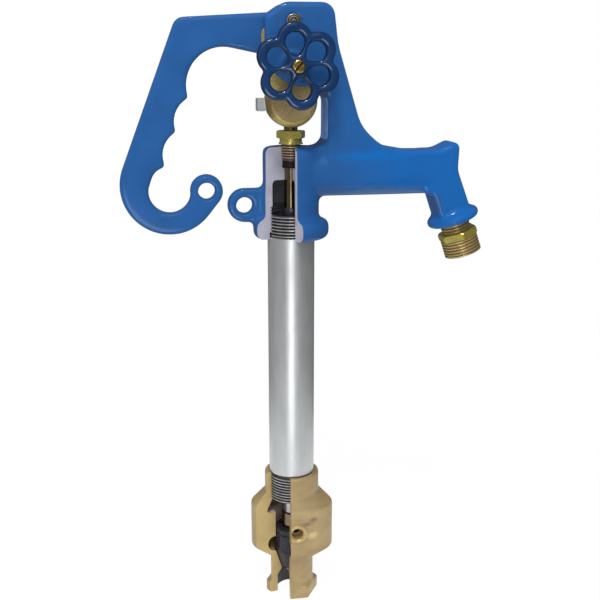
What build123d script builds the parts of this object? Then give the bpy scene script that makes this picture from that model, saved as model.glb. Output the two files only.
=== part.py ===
"""Yard hydrant, shown as a cutaway with a short standpipe.

Millimetres. The origin is the centre of the inlet's bottom face, on the standpipe's axis.
+X points to the spout, +Z points up, and -Y is the front, where the windows are cut.
The lever is down, so the valve is shut.
"""
from build123d import *
from math import acos, atan2, ceil, cos, radians, sin, sqrt, tan
import os

# Cutters run past the surface by this much
cut_over = 1.0

# Standpipe: one inch steel pipe, cut short for display
pipe_radius = 16.7
pipe_wall = 3.4
pipe_bottom_z = 79.6
pipe_length = 216.7
pipe_thread_pitch = 2.21
pipe_thread_run_out = 0.3
lower_thread_inset = 0.2
lower_thread_depth = 1.2
lower_thread_turns = 10
upper_thread_inset = 0.8
upper_thread_depth = 1.4
upper_thread_turns = 7
thread_clearance = 0.15

# Foot valve body, a brass casting
inlet_hex_width = 35.0
inlet_hex_height = 9.6
inlet_hex_chamfer = 2.4
inlet_hex_chamfer_rise = 3.0
inlet_bore_radius = 11.8
inlet_bore_depth = 14.0
inlet_shoulder_start = 8.6
inlet_shoulder_height = 2.4
neck_radius = 16.2
neck_top_z = 31.0
wide_long_radius = 31.0
wide_short_radius = 21.5
wide_turn_deg = -9.0
wide_bottom_z = 40.0
wide_top_z = 75.0
collar_radius = 20.3
collar_bottom_z = 85.5
collar_height = 15.5
collar_chamfer = 0.8
valve_bore_radius = 13.2
seat_radius = 8.6
seat_z = 19.5
seat_height = 1.5
groove_height = 12.0
groove_z = 41.2
groove_depth = 6.6
valve_chamber_radius = 20.0
valve_chamber_floor_z = 67.4
valve_chamber_chamfer = 1.5
valve_chamber_lip = 0.6
valve_chamber_lip_rise = 4.0
drain_boss_radius = 7.2
drain_boss_stand = 1.2
drain_hole_radius = 4.3
drain_hole_depth = 8.0
drain_passage_radius = 2.8
drain_x = 1.3
drain_z = 57.5

# Windows: a wedge is taken out of each casting, down to the axis
head_cut_x = 0.5
head_cut_turn_deg = 20.0
head_cut_mouth_y = 17.5
head_cut_flare_deg = 25.0
gland_cut_x = 2.0
gland_cut_mouth_y = 17.0
valve_cut_x = -3.5
valve_cut_turn_deg = 13.0

# Head casting: flange, barrel and padlock lug
head_engagement = 17.0
flange_radius = 26.7
flange_height = 13.7
flange_round = 5.0
barrel_radius = 19.7
barrel_height = 63.9
barrel_round = 4.0
head_counterbore_depth = 4.5
head_counterbore_clearance = 0.25
head_chamber_radius = 14.6
head_chamber_rise = 5.7
head_chamber_height = 18.4
head_chamber_round = 3.0
lug_x = -33.0
lug_rise = 23.8
lug_radius = 11.7
lug_thickness = 10.0
lug_edge_round = 1.5
lock_hole_radius = 5.9

# Head casting: spout
arm_width = 30.0
arm_rise = 29.5
arm_height = 31.6
arm_corner_radius = 12.0
arm_overlap = 8.0
arm_taper_x = 62.0
elbow_inner_x = 99.5
elbow_inner_round = 3.0
elbow_edge_round = 3.5
elbow_neck_overlap = 6.0
# X, height above the arm and rounding radius of the corners over the elbow and down its back
elbow_back_edge = [
    (103.0, 0.0, 16.0),
    (115.2, 6.0, 4.5),
    (118.8, 2.2, 3.5),
    (118.1, -14.4, 15.0),
]
elbow_width = 25.0
waterway_radius = 8.0
waterway_wall = 6.0
waterway_start_x = 8.0
outlet_tilt_deg = 19.0
outlet_x = 118.5
outlet_drop = 17.5
outlet_neck_radius = 11.9
outlet_flange_radius = 19.0
outlet_flange_half = 3.3
outlet_flange_edge = 2.0
outlet_flange_slope = 0.5
outlet_flare_height = 9.0
outlet_flare_middle_height = 3.2
outlet_flare_middle_width = 0.9
outlet_neck_length = 14.8

# Packing nut, which sets the height of what stands on the barrel
nut_hex_width = 17.8
nut_hex_height = 5.0
nut_hex_rise = 5.8
nut_hex_chamfer = 0.7
nut_hex_chamfer_rise = 0.8
nut_turn_deg = 6.0
nut_hub_radius = 7.8
nut_hub_lip = 0.8
nut_hub_lip_height = 1.6
nut_stand = 1.8

# Rod connector: round brass body with a fork that straddles the lever
connector_rise = 20.0
connector_radius = 17.9
connector_face_round = 4.5
fork_wall = 2.8
fork_plate_thickness = 2.8
fork_head_round = 4.2
fork_leg_spread = 3.0
fork_leg_foot_x = -14.7
fork_leg_foot_rise = 5.0
stem_engagement = 6.0
stem_end_gap = 0.5
screw_head_width = 8.6
screw_head_length = 5.6
screw_head_gap = 0.3
screw_head_chamfer = 0.7
screw_radius = 3.9
screw_drop = 2.3

# Fulcrum: a pin through both cheeks and the lever
fulcrum_rise = 51.6
fulcrum_pin_radius = 4.3
fulcrum_head_radius = 5.0
fulcrum_head_height = 1.4
fulcrum_head_round = 0.8
fulcrum_tail_length = 3.4
pin_fit = 0.05
washer_radius = 6.0
washer_gap = 0.1
clip_radius = 6.6
clip_thickness = 1.2
clip_stand = 0.2
clip_groove_depth = 0.8
clip_groove_gap = 0.05
clip_mouth_width = 5.0
side_gap = 0.3

# Head casting: upright with two cheeks, its heights taken from the fulcrum
cheek_outer_y = 15.0
cheek_inner_y = 8.5
cheek_left_x = -19.0
cheek_top_rise = 12.6
cheek_belly_x = 8.0
cheek_belly_drop = 14.9
cheek_belly_easing = 0.5
slot_right_x = 19.6
slot_floor_gap = 2.0
upright_inner_x = 23.2
upright_inner_round = 11.0
upright_foot_round = 8.5
upright_foot_width = 25.0
cheek_front_corner = 6.0
cheek_top_slope_x = -6.0
cheek_top_slope_drop = 8.7
cheek_top_round = 12.0
# X, height above the fulcrum and rounding radius of the upper corners down the upright's back
upright_back_upper = [
    (27.2, 12.6, 9.0),
    (30.5, -14.6, 60.0),
]
# X, height above the arm and rounding radius of the lower corners down the upright's back
upright_back_lower = [
    (47.0, 16.6, 30.0),
    (62.0, 3.0, 25.0),
    (80.0, -0.2, 0.0),
]
casting_edge_round = 2.5
spindle_boss_radius = 8.0
spindle_boss_height = 4.0

# Lever: a flat casting with finger grips, a hook and a padlock eye, its heights given as
# drops below the fulcrum
lever_thickness = 10.6
lever_edge_round = 2.0
lever_hub_radius = 10.8
lever_root_radius = 5.7
lever_root_rise = 1.4
lever_corner_x = -71.1
lever_corner_drop = 5.0
lever_corner_radius = 8.0
hook_outer_x = -84.3
hook_outer_drop = 108.1
hook_outer_radius = 33.5
hook_inner_radius = 14.4
hook_inner_x = -84.2
hook_inner_drop = 112.3
hook_high_x = -85.7
hook_high_drop = 106.2
hook_high_radius = 10.9
eye_x = -59.0
eye_drop = 112.0
eye_radius = 11.3
arch_x = -45.4
arch_drop = 41.5
arch_radius = 25.5
chin_x = -21.0
chin_drop = 20.5
chin_round = 4.0
chin_inner_x = 2.0
chin_inner_drop = 9.4
grip_radius = 17.8
grip_cusp_round = 2.6
upper_grip_x = -62.0
upper_grip_drop = 65.3
lower_grip_x = -70.3
lower_grip_drop = 87.4
hook_throat_round = 4.0

# Lever drive: a pin in the lever lifts the rod's fork
lever_travel_deg = 75.0
drive_arm = 15.0
drive_pin_radius = 2.5
drive_pin_fit = 0.02
drive_pin_end_gap = 0.1
drive_pin_chamfer = 0.3
drive_slot_clearance = 0.45
drive_slot_end_clearance = 0.3

# Stem, packing and rod
stem_radius = 4.76
stem_fit = 0.04
stem_socket_fit = 0.03
guide_clearance = 0.19
stem_drop = 42.4
rod_radius = 6.0
rod_tip_radius = 3.0
rod_tip_length = 14.0
rod_tip_gap = 1.0
rod_tip_fit = 0.05
rod_bottom_z = 66.9
gland_radius = 7.4
gland_clearance = 0.12
gland_thread_pitch = 1.8
gland_thread_depth = 0.8
gland_drop = 14.5
packing_height = 5.0
packing_round = 0.7
packing_fit = 0.05
follower_height = 1.2

# Plunger, which closes on the seat
plunger_stem_radius = 7.5
plunger_stem_bottom_z = 54.5
plunger_stem_chamfer = 0.6
plunger_socket_floor = 1.5
plunger_ring_z = 36.6
plunger_radius = 12.6
plunger_rim_drop = 3.5
plunger_rim_groove = 0.9
plunger_rim_slope = 0.7
plunger_rim_chamfer = 0.6
plunger_tip_z = 17.4
plunger_tip_radius = 4.0
plunger_nose_rise = 2.5
plunger_nose_bulge = 0.9
plunger_top_inset = 0.3
plunger_shoulder_inset = 0.4
plunger_seat_gap = 0.5
plunger_stud_radius = 3.5
plunger_stud_length = 8.0
plunger_stud_fit = 0.05

# Hose nozzle: brass, three quarter inch garden hose thread
hose_thread_radius = 13.45
hose_thread_pitch = 2.2
hose_thread_depth = 0.95
hose_thread_length = 12.2
hose_lip_height = 1.2
hose_lip_overlap = 0.2
hose_bore_radius = 8.8
nozzle_hex_width = 25.4
nozzle_hex_height = 5.0
nozzle_hex_chamfer = 0.9
nozzle_hex_chamfer_rise = 1.1
nozzle_neck_radius = 10.5
nozzle_neck_length = 7.5
nozzle_neck_thread_depth = 0.9
nozzle_engagement = 12.0
nozzle_end_gap = 1.0

# Flow wheel and its spindle
wheel_drop = 28.5
wheel_y = -33.0
wheel_thickness = 7.0
wheel_lobes = 6
wheel_lobe_radius = 11.4
wheel_lobe_orbit = 16.9
wheel_first_lobe_deg = -82.0
wheel_opening_radius = 6.3
wheel_opening_orbit = 15.2
wheel_opening_point_orbit = 8.6
wheel_opening_point_radius = 1.9
wheel_hub_radius = 7.2
wheel_hub_back_y = -24.5
wheel_hub_front_y = -36.9
wheel_hub_round = 1.5
wheel_edge_round = 1.2
spindle_radius = 4.0
spindle_fit = 0.12
spindle_wheel_fit = 0.02
spindle_seat_depth = 3.0
spindle_tip_gap = 0.1
spindle_tip_chamfer = 0.8
wheel_screw_head_radius = 4.4
wheel_screw_head_height = 2.4
wheel_screw_head_round = 1.4
wheel_screw_radius = 2.2
wheel_screw_hole_clearance = 0.1
wheel_screw_thread_fit = 0.03
wheel_screw_end_gap = 0.5
wheel_screw_slot_width = 1.2
wheel_screw_slot_depth = 1.1
wheel_screw_slot_turn_deg = 40.0
wheel_screw_length = 11.0

# Heights that follow from the sizes above, from the standpipe upwards
collar_top_z = collar_bottom_z + collar_height
pipe_top_z = pipe_bottom_z + pipe_length
flange_bottom_z = pipe_top_z - head_engagement
flange_top_z = flange_bottom_z + flange_height
barrel_top_z = flange_bottom_z + barrel_height
head_chamber_bottom_z = pipe_top_z + head_chamber_rise
head_chamber_top_z = head_chamber_bottom_z + head_chamber_height
lug_z = flange_bottom_z + lug_rise
arm_bottom_z = flange_bottom_z + arm_rise
arm_top_z = arm_bottom_z + arm_height
waterway_z = arm_bottom_z + waterway_wall + waterway_radius
outlet_z = arm_bottom_z - outlet_drop
gland_bottom_z = barrel_top_z - gland_drop
stem_bottom_z = barrel_top_z - stem_drop
nut_hex_bottom_z = barrel_top_z + nut_hex_rise
nut_hex_top_z = nut_hex_bottom_z + nut_hex_height
connector_z = nut_hex_top_z + connector_rise
stem_top_z = connector_z + stem_engagement
screw_z = connector_z - screw_drop
fulcrum_z = connector_z + fulcrum_rise
cheek_top_z = fulcrum_z + cheek_top_rise
wheel_z = fulcrum_z - wheel_drop

# Lever drive: where the pin stands when the lever is down, and how far it lifts the rod
half_travel = radians(lever_travel_deg / 2)
drive_x = -drive_arm * cos(half_travel)
drive_z = fulcrum_z - drive_arm * sin(half_travel)
rod_lift = 2 * drive_arm * sin(half_travel)
fork_inner_y = lever_thickness / 2 + side_gap / 2
fork_outer_y = min(fork_inner_y + fork_plate_thickness, cheek_inner_y - side_gap)
clip_y = cheek_outer_y + clip_stand
spindle_end_y = wheel_hub_front_y + spindle_seat_depth


def upright_cylinder(radius, bottom_z, top_z):
    return Pos(0, 0, (bottom_z + top_z) / 2) * Cylinder(radius, top_z - bottom_z)


def upright_box(width, depth, bottom_z, top_z):
    return Pos(0, 0, (bottom_z + top_z) / 2) * Box(width, depth, top_z - bottom_z)


def cross_cylinder(radius, x, z, front_y, back_y):
    """Cylinder along Y."""
    turned = Rot(90, 0, 0) * Cylinder(radius, back_y - front_y)
    return Pos(x, (front_y + back_y) / 2, z) * turned


def plate(outline, front_y, back_y):
    """Side outline, drawn in X and Z, given its thickness along Y."""
    return extrude(Pos(0, back_y, 0) * (Plane.XZ * outline), amount=back_y - front_y)


def disc(circle):
    """Flat circle from its centre's X and Z and its radius."""
    x, z, radius = circle
    return Pos(x, z) * Circle(radius)


def rounded_outline(corners):
    """Closed outline from corners given as X, Z and the radius that rounds each one."""
    face = make_face(Polyline(*[(x, z) for x, z, _ in corners], close=True))
    sketch = Sketch() + face
    for x, z, radius in corners:
        if radius > 0:
            sketch = fillet(sketch.vertices().sort_by_distance((x, z, 0))[0], radius)
    return sketch


def turned_profile(points):
    """Solid of revolution about Z from points given as radius and height."""
    outline = Polyline(*[(r, 0, z) for r, z in points], close=True)
    return revolve(make_face(outline), Axis.Z)


def threaded_profile(crest, root, bottom_z, top_z, pitch):
    """Points up the outside of a threaded stretch: one ridge per pitch with a flat crest."""
    count = int((top_z - bottom_z) / pitch)
    points = [(root, bottom_z)]
    for i in range(count):
        z = bottom_z + i * pitch
        points += [
            (root, z + 0.12 * pitch),
            (crest, z + 0.42 * pitch),
            (crest, z + 0.70 * pitch),
            (root, z + pitch),
        ]
    if points[-1][1] < top_z - 0.01:
        points.append((root, top_z))
    return points


def threaded_rod(crest, depth, bottom_z, top_z, pitch, growth=0.0):
    """Solid threaded cylinder; growth makes the larger form that cuts its mating hole."""
    sides = threaded_profile(crest + growth, crest - depth + growth, bottom_z, top_z, pitch)
    return turned_profile([(0, bottom_z)] + sides + [(0, top_z)])


def hexagon_bar(width, bottom_z, top_z, chamfer_width, chamfer_rise, turn_deg):
    """Hexagon by its width across flats, with its corners turned off at both ends."""
    outline = Rot(0, 0, turn_deg) * RegularPolygon(width / 2, 6, major_radius=False)
    block = extrude(Pos(0, 0, bottom_z) * outline, amount=top_z - bottom_z)
    corner = width / sqrt(3)
    slope = chamfer_width / chamfer_rise
    trim = turned_profile([
        (0, bottom_z),
        (corner - chamfer_width, bottom_z),
        (corner + cut_over * slope, bottom_z + chamfer_rise + cut_over),
        (corner + cut_over * slope, top_z - chamfer_rise - cut_over),
        (corner - chamfer_width, top_z),
        (0, top_z),
    ])
    return block & trim


def window(cut_x, turn_deg, mouth_y, flare_deg, bottom_z, top_z):
    """Wedge taken out of a casting: one face square to X, the other turned about the axis.

    In front of mouth_y the square face flares towards the spout.
    """
    slope = tan(radians(turn_deg))
    reach = 2 * wide_long_radius
    outline = Polyline(
        (cut_x, cut_x * slope),
        (-reach, -reach * slope),
        (-reach, -reach),
        (cut_x + (reach - mouth_y) * tan(radians(flare_deg)), -reach),
        (cut_x, -mouth_y),
        close=True,
    )
    return extrude(Pos(0, 0, bottom_z) * make_face(outline), amount=top_z - bottom_z)


def at_outlet(shape):
    """Moves a shape drawn about Z, outlet end downwards, to the tilted outlet."""
    return Pos(outlet_x, 0, outlet_z) * Rot(0, -outlet_tilt_deg, 0) * shape


def pipe_thread(inset, depth, turns, bottom_z, growth=0.0):
    """Threaded rod with the pipe's own ridges; growth makes the form that taps its hole."""
    return threaded_rod(
        pipe_radius - inset, depth, bottom_z, bottom_z + turns * pipe_thread_pitch,
        pipe_thread_pitch, growth,
    )


def make_standpipe():
    lower_top_z = pipe_bottom_z + lower_thread_turns * pipe_thread_pitch
    upper_bottom_z = pipe_top_z - upper_thread_turns * pipe_thread_pitch
    lower_end = pipe_thread(lower_thread_inset, lower_thread_depth, lower_thread_turns, pipe_bottom_z)
    upper_end = pipe_thread(upper_thread_inset, upper_thread_depth, upper_thread_turns, upper_bottom_z)
    lower_root = pipe_radius - lower_thread_inset - lower_thread_depth
    upper_root = pipe_radius - upper_thread_inset - upper_thread_depth
    plain = turned_profile([
        (0, lower_top_z),
        (lower_root, lower_top_z),
        (pipe_radius, lower_top_z + pipe_thread_run_out),
        (pipe_radius, upper_bottom_z - pipe_thread_run_out),
        (upper_root, upper_bottom_z),
        (0, upper_bottom_z),
    ])
    bore = upright_cylinder(pipe_radius - pipe_wall, pipe_bottom_z - cut_over, pipe_top_z + cut_over)
    return lower_end + plain + upper_end - bore


def make_valve_body():
    round_neck = upright_cylinder(neck_radius, 0, neck_top_z)
    shoulder_top_z = inlet_hex_height + inlet_shoulder_height
    hex_outline = RegularPolygon(inlet_hex_width / 2, 6, major_radius=False)
    hex_block = extrude(hex_outline, amount=shoulder_top_z)
    corner = inlet_hex_width / sqrt(3)
    chamfer_slope = inlet_hex_chamfer / inlet_hex_chamfer_rise
    shoulder_slope = (corner - neck_radius) / (shoulder_top_z - inlet_shoulder_start)
    hex_trim = turned_profile([
        (0, 0),
        (corner - inlet_hex_chamfer, 0),
        (corner + cut_over * chamfer_slope, inlet_hex_chamfer_rise + cut_over),
        (corner + cut_over * shoulder_slope, inlet_shoulder_start - cut_over),
        (neck_radius, shoulder_top_z),
        (0, shoulder_top_z),
    ])
    wide = Rot(0, 0, wide_turn_deg) * Ellipse(wide_long_radius, wide_short_radius)
    belly = extrude(Pos(0, 0, wide_bottom_z) * wide, amount=wide_top_z - wide_bottom_z)
    lower_shoulder = loft([
        Pos(0, 0, neck_top_z) * (Rot(0, 0, wide_turn_deg) * Circle(neck_radius)),
        Pos(0, 0, wide_bottom_z) * wide,
    ], ruled=True)
    upper_shoulder = loft([
        Pos(0, 0, wide_top_z) * wide,
        Pos(0, 0, collar_bottom_z) * (Rot(0, 0, wide_turn_deg) * Circle(collar_radius)),
    ], ruled=True)
    collar = upright_cylinder(collar_radius, collar_bottom_z, collar_top_z)
    collar = chamfer(collar.edges().group_by(Axis.Z)[-1], collar_chamfer)
    boss_front_y = -(wide_short_radius + drain_boss_stand)
    boss = cross_cylinder(drain_boss_radius, drain_x, drain_z, boss_front_y, -valve_bore_radius)
    body = (hex_block & hex_trim) + round_neck + lower_shoulder + belly + upper_shoulder + collar
    body = body + boss

    groove_top = groove_z + groove_height / 2
    groove_bottom = groove_z - groove_height / 2
    cavity = turned_profile([
        (0, -cut_over),
        (inlet_bore_radius, -cut_over),
        (inlet_bore_radius, inlet_bore_depth),
        (seat_radius, seat_z - seat_height / 2),
        (seat_radius, seat_z + seat_height / 2),
        (valve_bore_radius, groove_bottom),
        (valve_bore_radius, valve_chamber_floor_z),
        (valve_chamber_radius - valve_chamber_chamfer, valve_chamber_floor_z),
        (valve_chamber_radius, valve_chamber_floor_z + valve_chamber_chamfer),
        (valve_chamber_radius - valve_chamber_lip, valve_chamber_floor_z + valve_chamber_lip_rise),
        (pipe_radius - lower_thread_depth, pipe_bottom_z),
        (0, pipe_bottom_z),
    ])
    groove_outline = make_face([
        Line((0, groove_bottom), (valve_bore_radius, groove_bottom)),
        ThreePointArc(
            (valve_bore_radius, groove_bottom),
            (valve_bore_radius + groove_depth, groove_z),
            (valve_bore_radius, groove_top),
        ),
        Line((valve_bore_radius, groove_top), (0, groove_top)),
        Line((0, groove_top), (0, groove_bottom)),
    ])
    groove = revolve(Plane.XZ * groove_outline, Axis.Z)
    turns = ceil((collar_top_z + cut_over - pipe_bottom_z) / pipe_thread_pitch)
    tapping = pipe_thread(
        lower_thread_inset, lower_thread_depth, turns, pipe_bottom_z, thread_clearance
    )
    drain_floor_y = boss_front_y + drain_hole_depth
    drain = cross_cylinder(
        drain_hole_radius, drain_x, drain_z, boss_front_y - cut_over, drain_floor_y
    )
    drain = drain + cross_cylinder(
        drain_passage_radius, drain_x, drain_z, drain_floor_y - cut_over, 0
    )
    opening = window(
        valve_cut_x, valve_cut_turn_deg, wide_long_radius, 0, -cut_over, collar_top_z + cut_over
    )
    return body - cavity - groove - tapping - drain - opening


def make_upright():
    """Upright and both cheeks as one plate, before the slot is milled."""
    belly_radius = cheek_belly_x - cheek_left_x
    belly_bottom = fulcrum_z - cheek_belly_drop - belly_radius
    base_z = arm_bottom_z + arm_corner_radius
    outline = rounded_outline([
        (upright_inner_x, base_z, 0),
        (upright_inner_x, belly_bottom, upright_inner_round),
        (cheek_left_x, belly_bottom, belly_radius - cheek_belly_easing),
        (cheek_left_x, cheek_top_z - cheek_top_slope_drop, cheek_front_corner),
        (cheek_top_slope_x, cheek_top_z, cheek_top_round),
        *[(x, fulcrum_z + rise, radius) for x, rise, radius in upright_back_upper],
        *[(x, arm_top_z + rise, radius) for x, rise, radius in upright_back_lower],
        (upright_back_lower[-1][0], base_z, 0),
    ])
    solid = plate(outline, -cheek_outer_y, cheek_outer_y)
    rims = solid.edges().filter_by(Axis.Y, reverse=True)
    return fillet([e for e in rims if e.center().Z > arm_top_z], casting_edge_round)


def make_upright_foot():
    """Hollow round that carries the barrel's top face up into the upright."""
    left = upright_inner_x - upright_foot_round
    centre_z = barrel_top_z + upright_foot_round
    block = Pos(left + upright_foot_round, centre_z - upright_foot_round) * Rectangle(
        2 * upright_foot_round, 2 * upright_foot_round
    )
    outline = block - Pos(left, centre_z) * Circle(upright_foot_round)
    outline = outline & Pos(upright_inner_x, barrel_top_z) * Rectangle(
        2 * upright_foot_round, 2 * upright_foot_round
    )
    return plate(outline, -upright_foot_width / 2, upright_foot_width / 2)


def make_spout():
    """Horizontal arm, elbow, outlet neck and flange, still solid."""
    height = arm_top_z - arm_bottom_z
    middle_z = (arm_top_z + arm_bottom_z) / 2
    section = Plane.YZ * RectangleRounded(arm_width, height, arm_corner_radius)
    narrow = Plane.YZ * RectangleRounded(elbow_width, height, arm_corner_radius)
    start_x = barrel_radius - arm_overlap
    arm = extrude(Pos(start_x, 0, middle_z) * section, amount=arm_taper_x - start_x)
    arm = arm + loft([
        Pos(arm_taper_x, 0, middle_z) * section,
        Pos(elbow_inner_x + arm_overlap, 0, middle_z) * narrow,
    ], ruled=True)
    tilt = radians(outlet_tilt_deg)
    reach = outlet_neck_radius * cos(tilt)
    drop = outlet_neck_radius * sin(tilt)
    up_x = -elbow_neck_overlap * sin(tilt)
    up_z = elbow_neck_overlap * cos(tilt)
    outline = rounded_outline([
        (elbow_inner_x - elbow_neck_overlap, arm_bottom_z + cut_over, 0),
        (elbow_inner_x - elbow_neck_overlap, arm_top_z, 0),
        *[(x, arm_top_z + rise, radius) for x, rise, radius in elbow_back_edge],
        (outlet_x + reach + up_x, outlet_z + drop + up_z, 0),
        (outlet_x - reach + up_x, outlet_z - drop + up_z, 0),
        (elbow_inner_x, arm_bottom_z + cut_over, elbow_inner_round),
    ])
    elbow = plate(outline, -elbow_width / 2, elbow_width / 2)
    rims = elbow.edges().filter_by(Axis.Y, reverse=True)
    outside = [e for e in rims if e.center().X > elbow_inner_x and e.center().Z > arm_bottom_z]
    elbow = fillet(outside, elbow_edge_round)
    half = outlet_flange_half
    edge_radius = outlet_flange_radius - outlet_flange_edge
    shoulder = half - outlet_flange_slope
    flare_top = half + outlet_flare_height
    neck_top = flare_top + outlet_neck_length
    bell = make_face([
        Line((0, -half), (edge_radius, -half)),
        ThreePointArc((edge_radius, -half), (outlet_flange_radius, 0), (edge_radius, shoulder)),
        ThreePointArc(
            (edge_radius, shoulder),
            (outlet_neck_radius + outlet_flare_middle_width, half + outlet_flare_middle_height),
            (outlet_neck_radius, flare_top),
        ),
        Line((outlet_neck_radius, flare_top), (outlet_neck_radius, neck_top)),
        Line((outlet_neck_radius, neck_top), (0, neck_top)),
        Line((0, neck_top), (0, -half)),
    ])
    outlet = at_outlet(revolve(Plane.XZ * bell, Axis.Z))
    return arm + elbow + outlet


def make_head_casting():
    flange = upright_cylinder(flange_radius, flange_bottom_z, flange_top_z)
    flange = fillet(flange.edges().group_by(Axis.Z)[0], flange_round)
    flange = fillet(flange.edges().group_by(Axis.Z)[-1], flange_round)
    barrel = upright_cylinder(barrel_radius, flange_bottom_z + flange_round, barrel_top_z)
    barrel = fillet(barrel.edges().group_by(Axis.Z)[-1], barrel_round)
    lug_outline = Pos(lug_x, lug_z) * Circle(lug_radius)
    lug_root = Pos(lug_x / 2 - barrel_radius / 4, lug_z) * Rectangle(
        -lug_x - barrel_radius / 2, 2 * lug_radius
    )
    lug = plate(lug_outline + lug_root, -lug_thickness / 2, lug_thickness / 2)
    lug = fillet(lug.edges().filter_by(Axis.Y, reverse=True), lug_edge_round)
    lug = lug - cross_cylinder(lock_hole_radius, lug_x, lug_z, -lug_thickness, lug_thickness)
    boss_front_y = -cheek_outer_y - spindle_boss_height
    boss = cross_cylinder(spindle_boss_radius, 0, wheel_z, boss_front_y, -cheek_outer_y + cut_over)
    body = flange + barrel + lug + make_upright() + make_upright_foot() + make_spout() + boss

    slot_floor = connector_z - connector_radius - slot_floor_gap
    slot_left = cheek_left_x - cut_over
    slot_top = cheek_top_z + cut_over
    slot = Pos((slot_right_x + slot_left) / 2, 0, (slot_floor + slot_top) / 2) * Box(
        slot_right_x - slot_left, 2 * cheek_inner_y, slot_top - slot_floor
    )
    counterbore = upright_cylinder(
        pipe_radius + head_counterbore_clearance,
        flange_bottom_z - cut_over,
        flange_bottom_z + head_counterbore_depth,
    )
    chamber = upright_cylinder(
        head_chamber_radius, head_chamber_bottom_z - cut_over, head_chamber_top_z
    )
    chamber = fillet(chamber.edges().group_by(Axis.Z)[-1], head_chamber_round)
    tapping = pipe_thread(
        upper_thread_inset, upper_thread_depth, upper_thread_turns,
        pipe_top_z - upper_thread_turns * pipe_thread_pitch, thread_clearance,
    )
    tapping_run_out = upright_cylinder(
        pipe_radius - upper_thread_inset, pipe_top_z - cut_over, head_chamber_bottom_z
    )
    guide = upright_cylinder(
        stem_radius + guide_clearance, head_chamber_top_z - cut_over, gland_bottom_z + cut_over
    )
    gland = threaded_rod(
        gland_radius, gland_thread_depth, gland_bottom_z + packing_height + follower_height,
        barrel_top_z + cut_over, gland_thread_pitch, gland_clearance,
    )
    packing_box = upright_cylinder(
        gland_radius - gland_thread_depth + gland_clearance, gland_bottom_z, barrel_top_z
    )
    tilt = radians(outlet_tilt_deg)
    climb = (waterway_z - outlet_z) / cos(tilt)
    waterway_end_x = outlet_x - climb * sin(tilt)
    waterway = Pos((waterway_start_x + waterway_end_x) / 2, 0, waterway_z) * Rot(0, 90, 0) * Cylinder(
        waterway_radius, waterway_end_x - waterway_start_x
    )
    knuckle = Pos(waterway_end_x, 0, waterway_z) * Sphere(waterway_radius)
    down_bore = at_outlet(upright_cylinder(waterway_radius, 0, climb))
    outlet_end = -outlet_flange_half
    outlet_tapping = at_outlet(upright_cylinder(
        nozzle_neck_radius + thread_clearance, outlet_end - cut_over, outlet_end + nozzle_engagement
    ))
    fulcrum_hole = cross_cylinder(
        fulcrum_pin_radius + pin_fit, 0, fulcrum_z,
        -cheek_outer_y - cut_over, cheek_outer_y + cut_over,
    )
    spindle_hole = cross_cylinder(
        spindle_radius + spindle_fit, 0, wheel_z, boss_front_y - cut_over, 0
    )
    opening = window(
        head_cut_x, head_cut_turn_deg, head_cut_mouth_y, head_cut_flare_deg,
        flange_bottom_z - cut_over, barrel_top_z + cut_over,
    )
    gland_opening = Pos(gland_cut_x / 2, -gland_cut_mouth_y / 2, 0) * upright_box(
        gland_cut_x, gland_cut_mouth_y, gland_bottom_z, barrel_top_z + cut_over
    )
    cuts = [
        slot, counterbore, chamber, tapping, tapping_run_out, guide, gland, packing_box,
        waterway, knuckle, down_bore, outlet_tapping, fulcrum_hole, spindle_hole, opening,
        gland_opening,
    ]
    for cut in cuts:
        body = body - cut
    return body


def crossing(first, second, side):
    """Point where two circles of X, Z and radius cross, on one side of their centre line."""
    across_x = second[0] - first[0]
    across_z = second[1] - first[1]
    apart = sqrt(across_x ** 2 + across_z ** 2)
    along = (apart ** 2 + first[2] ** 2 - second[2] ** 2) / (2 * apart)
    away = side * sqrt(first[2] ** 2 - along ** 2)
    return (
        first[0] + (along * across_x - away * across_z) / apart,
        first[1] + (along * across_z + away * across_x) / apart,
    )


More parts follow.
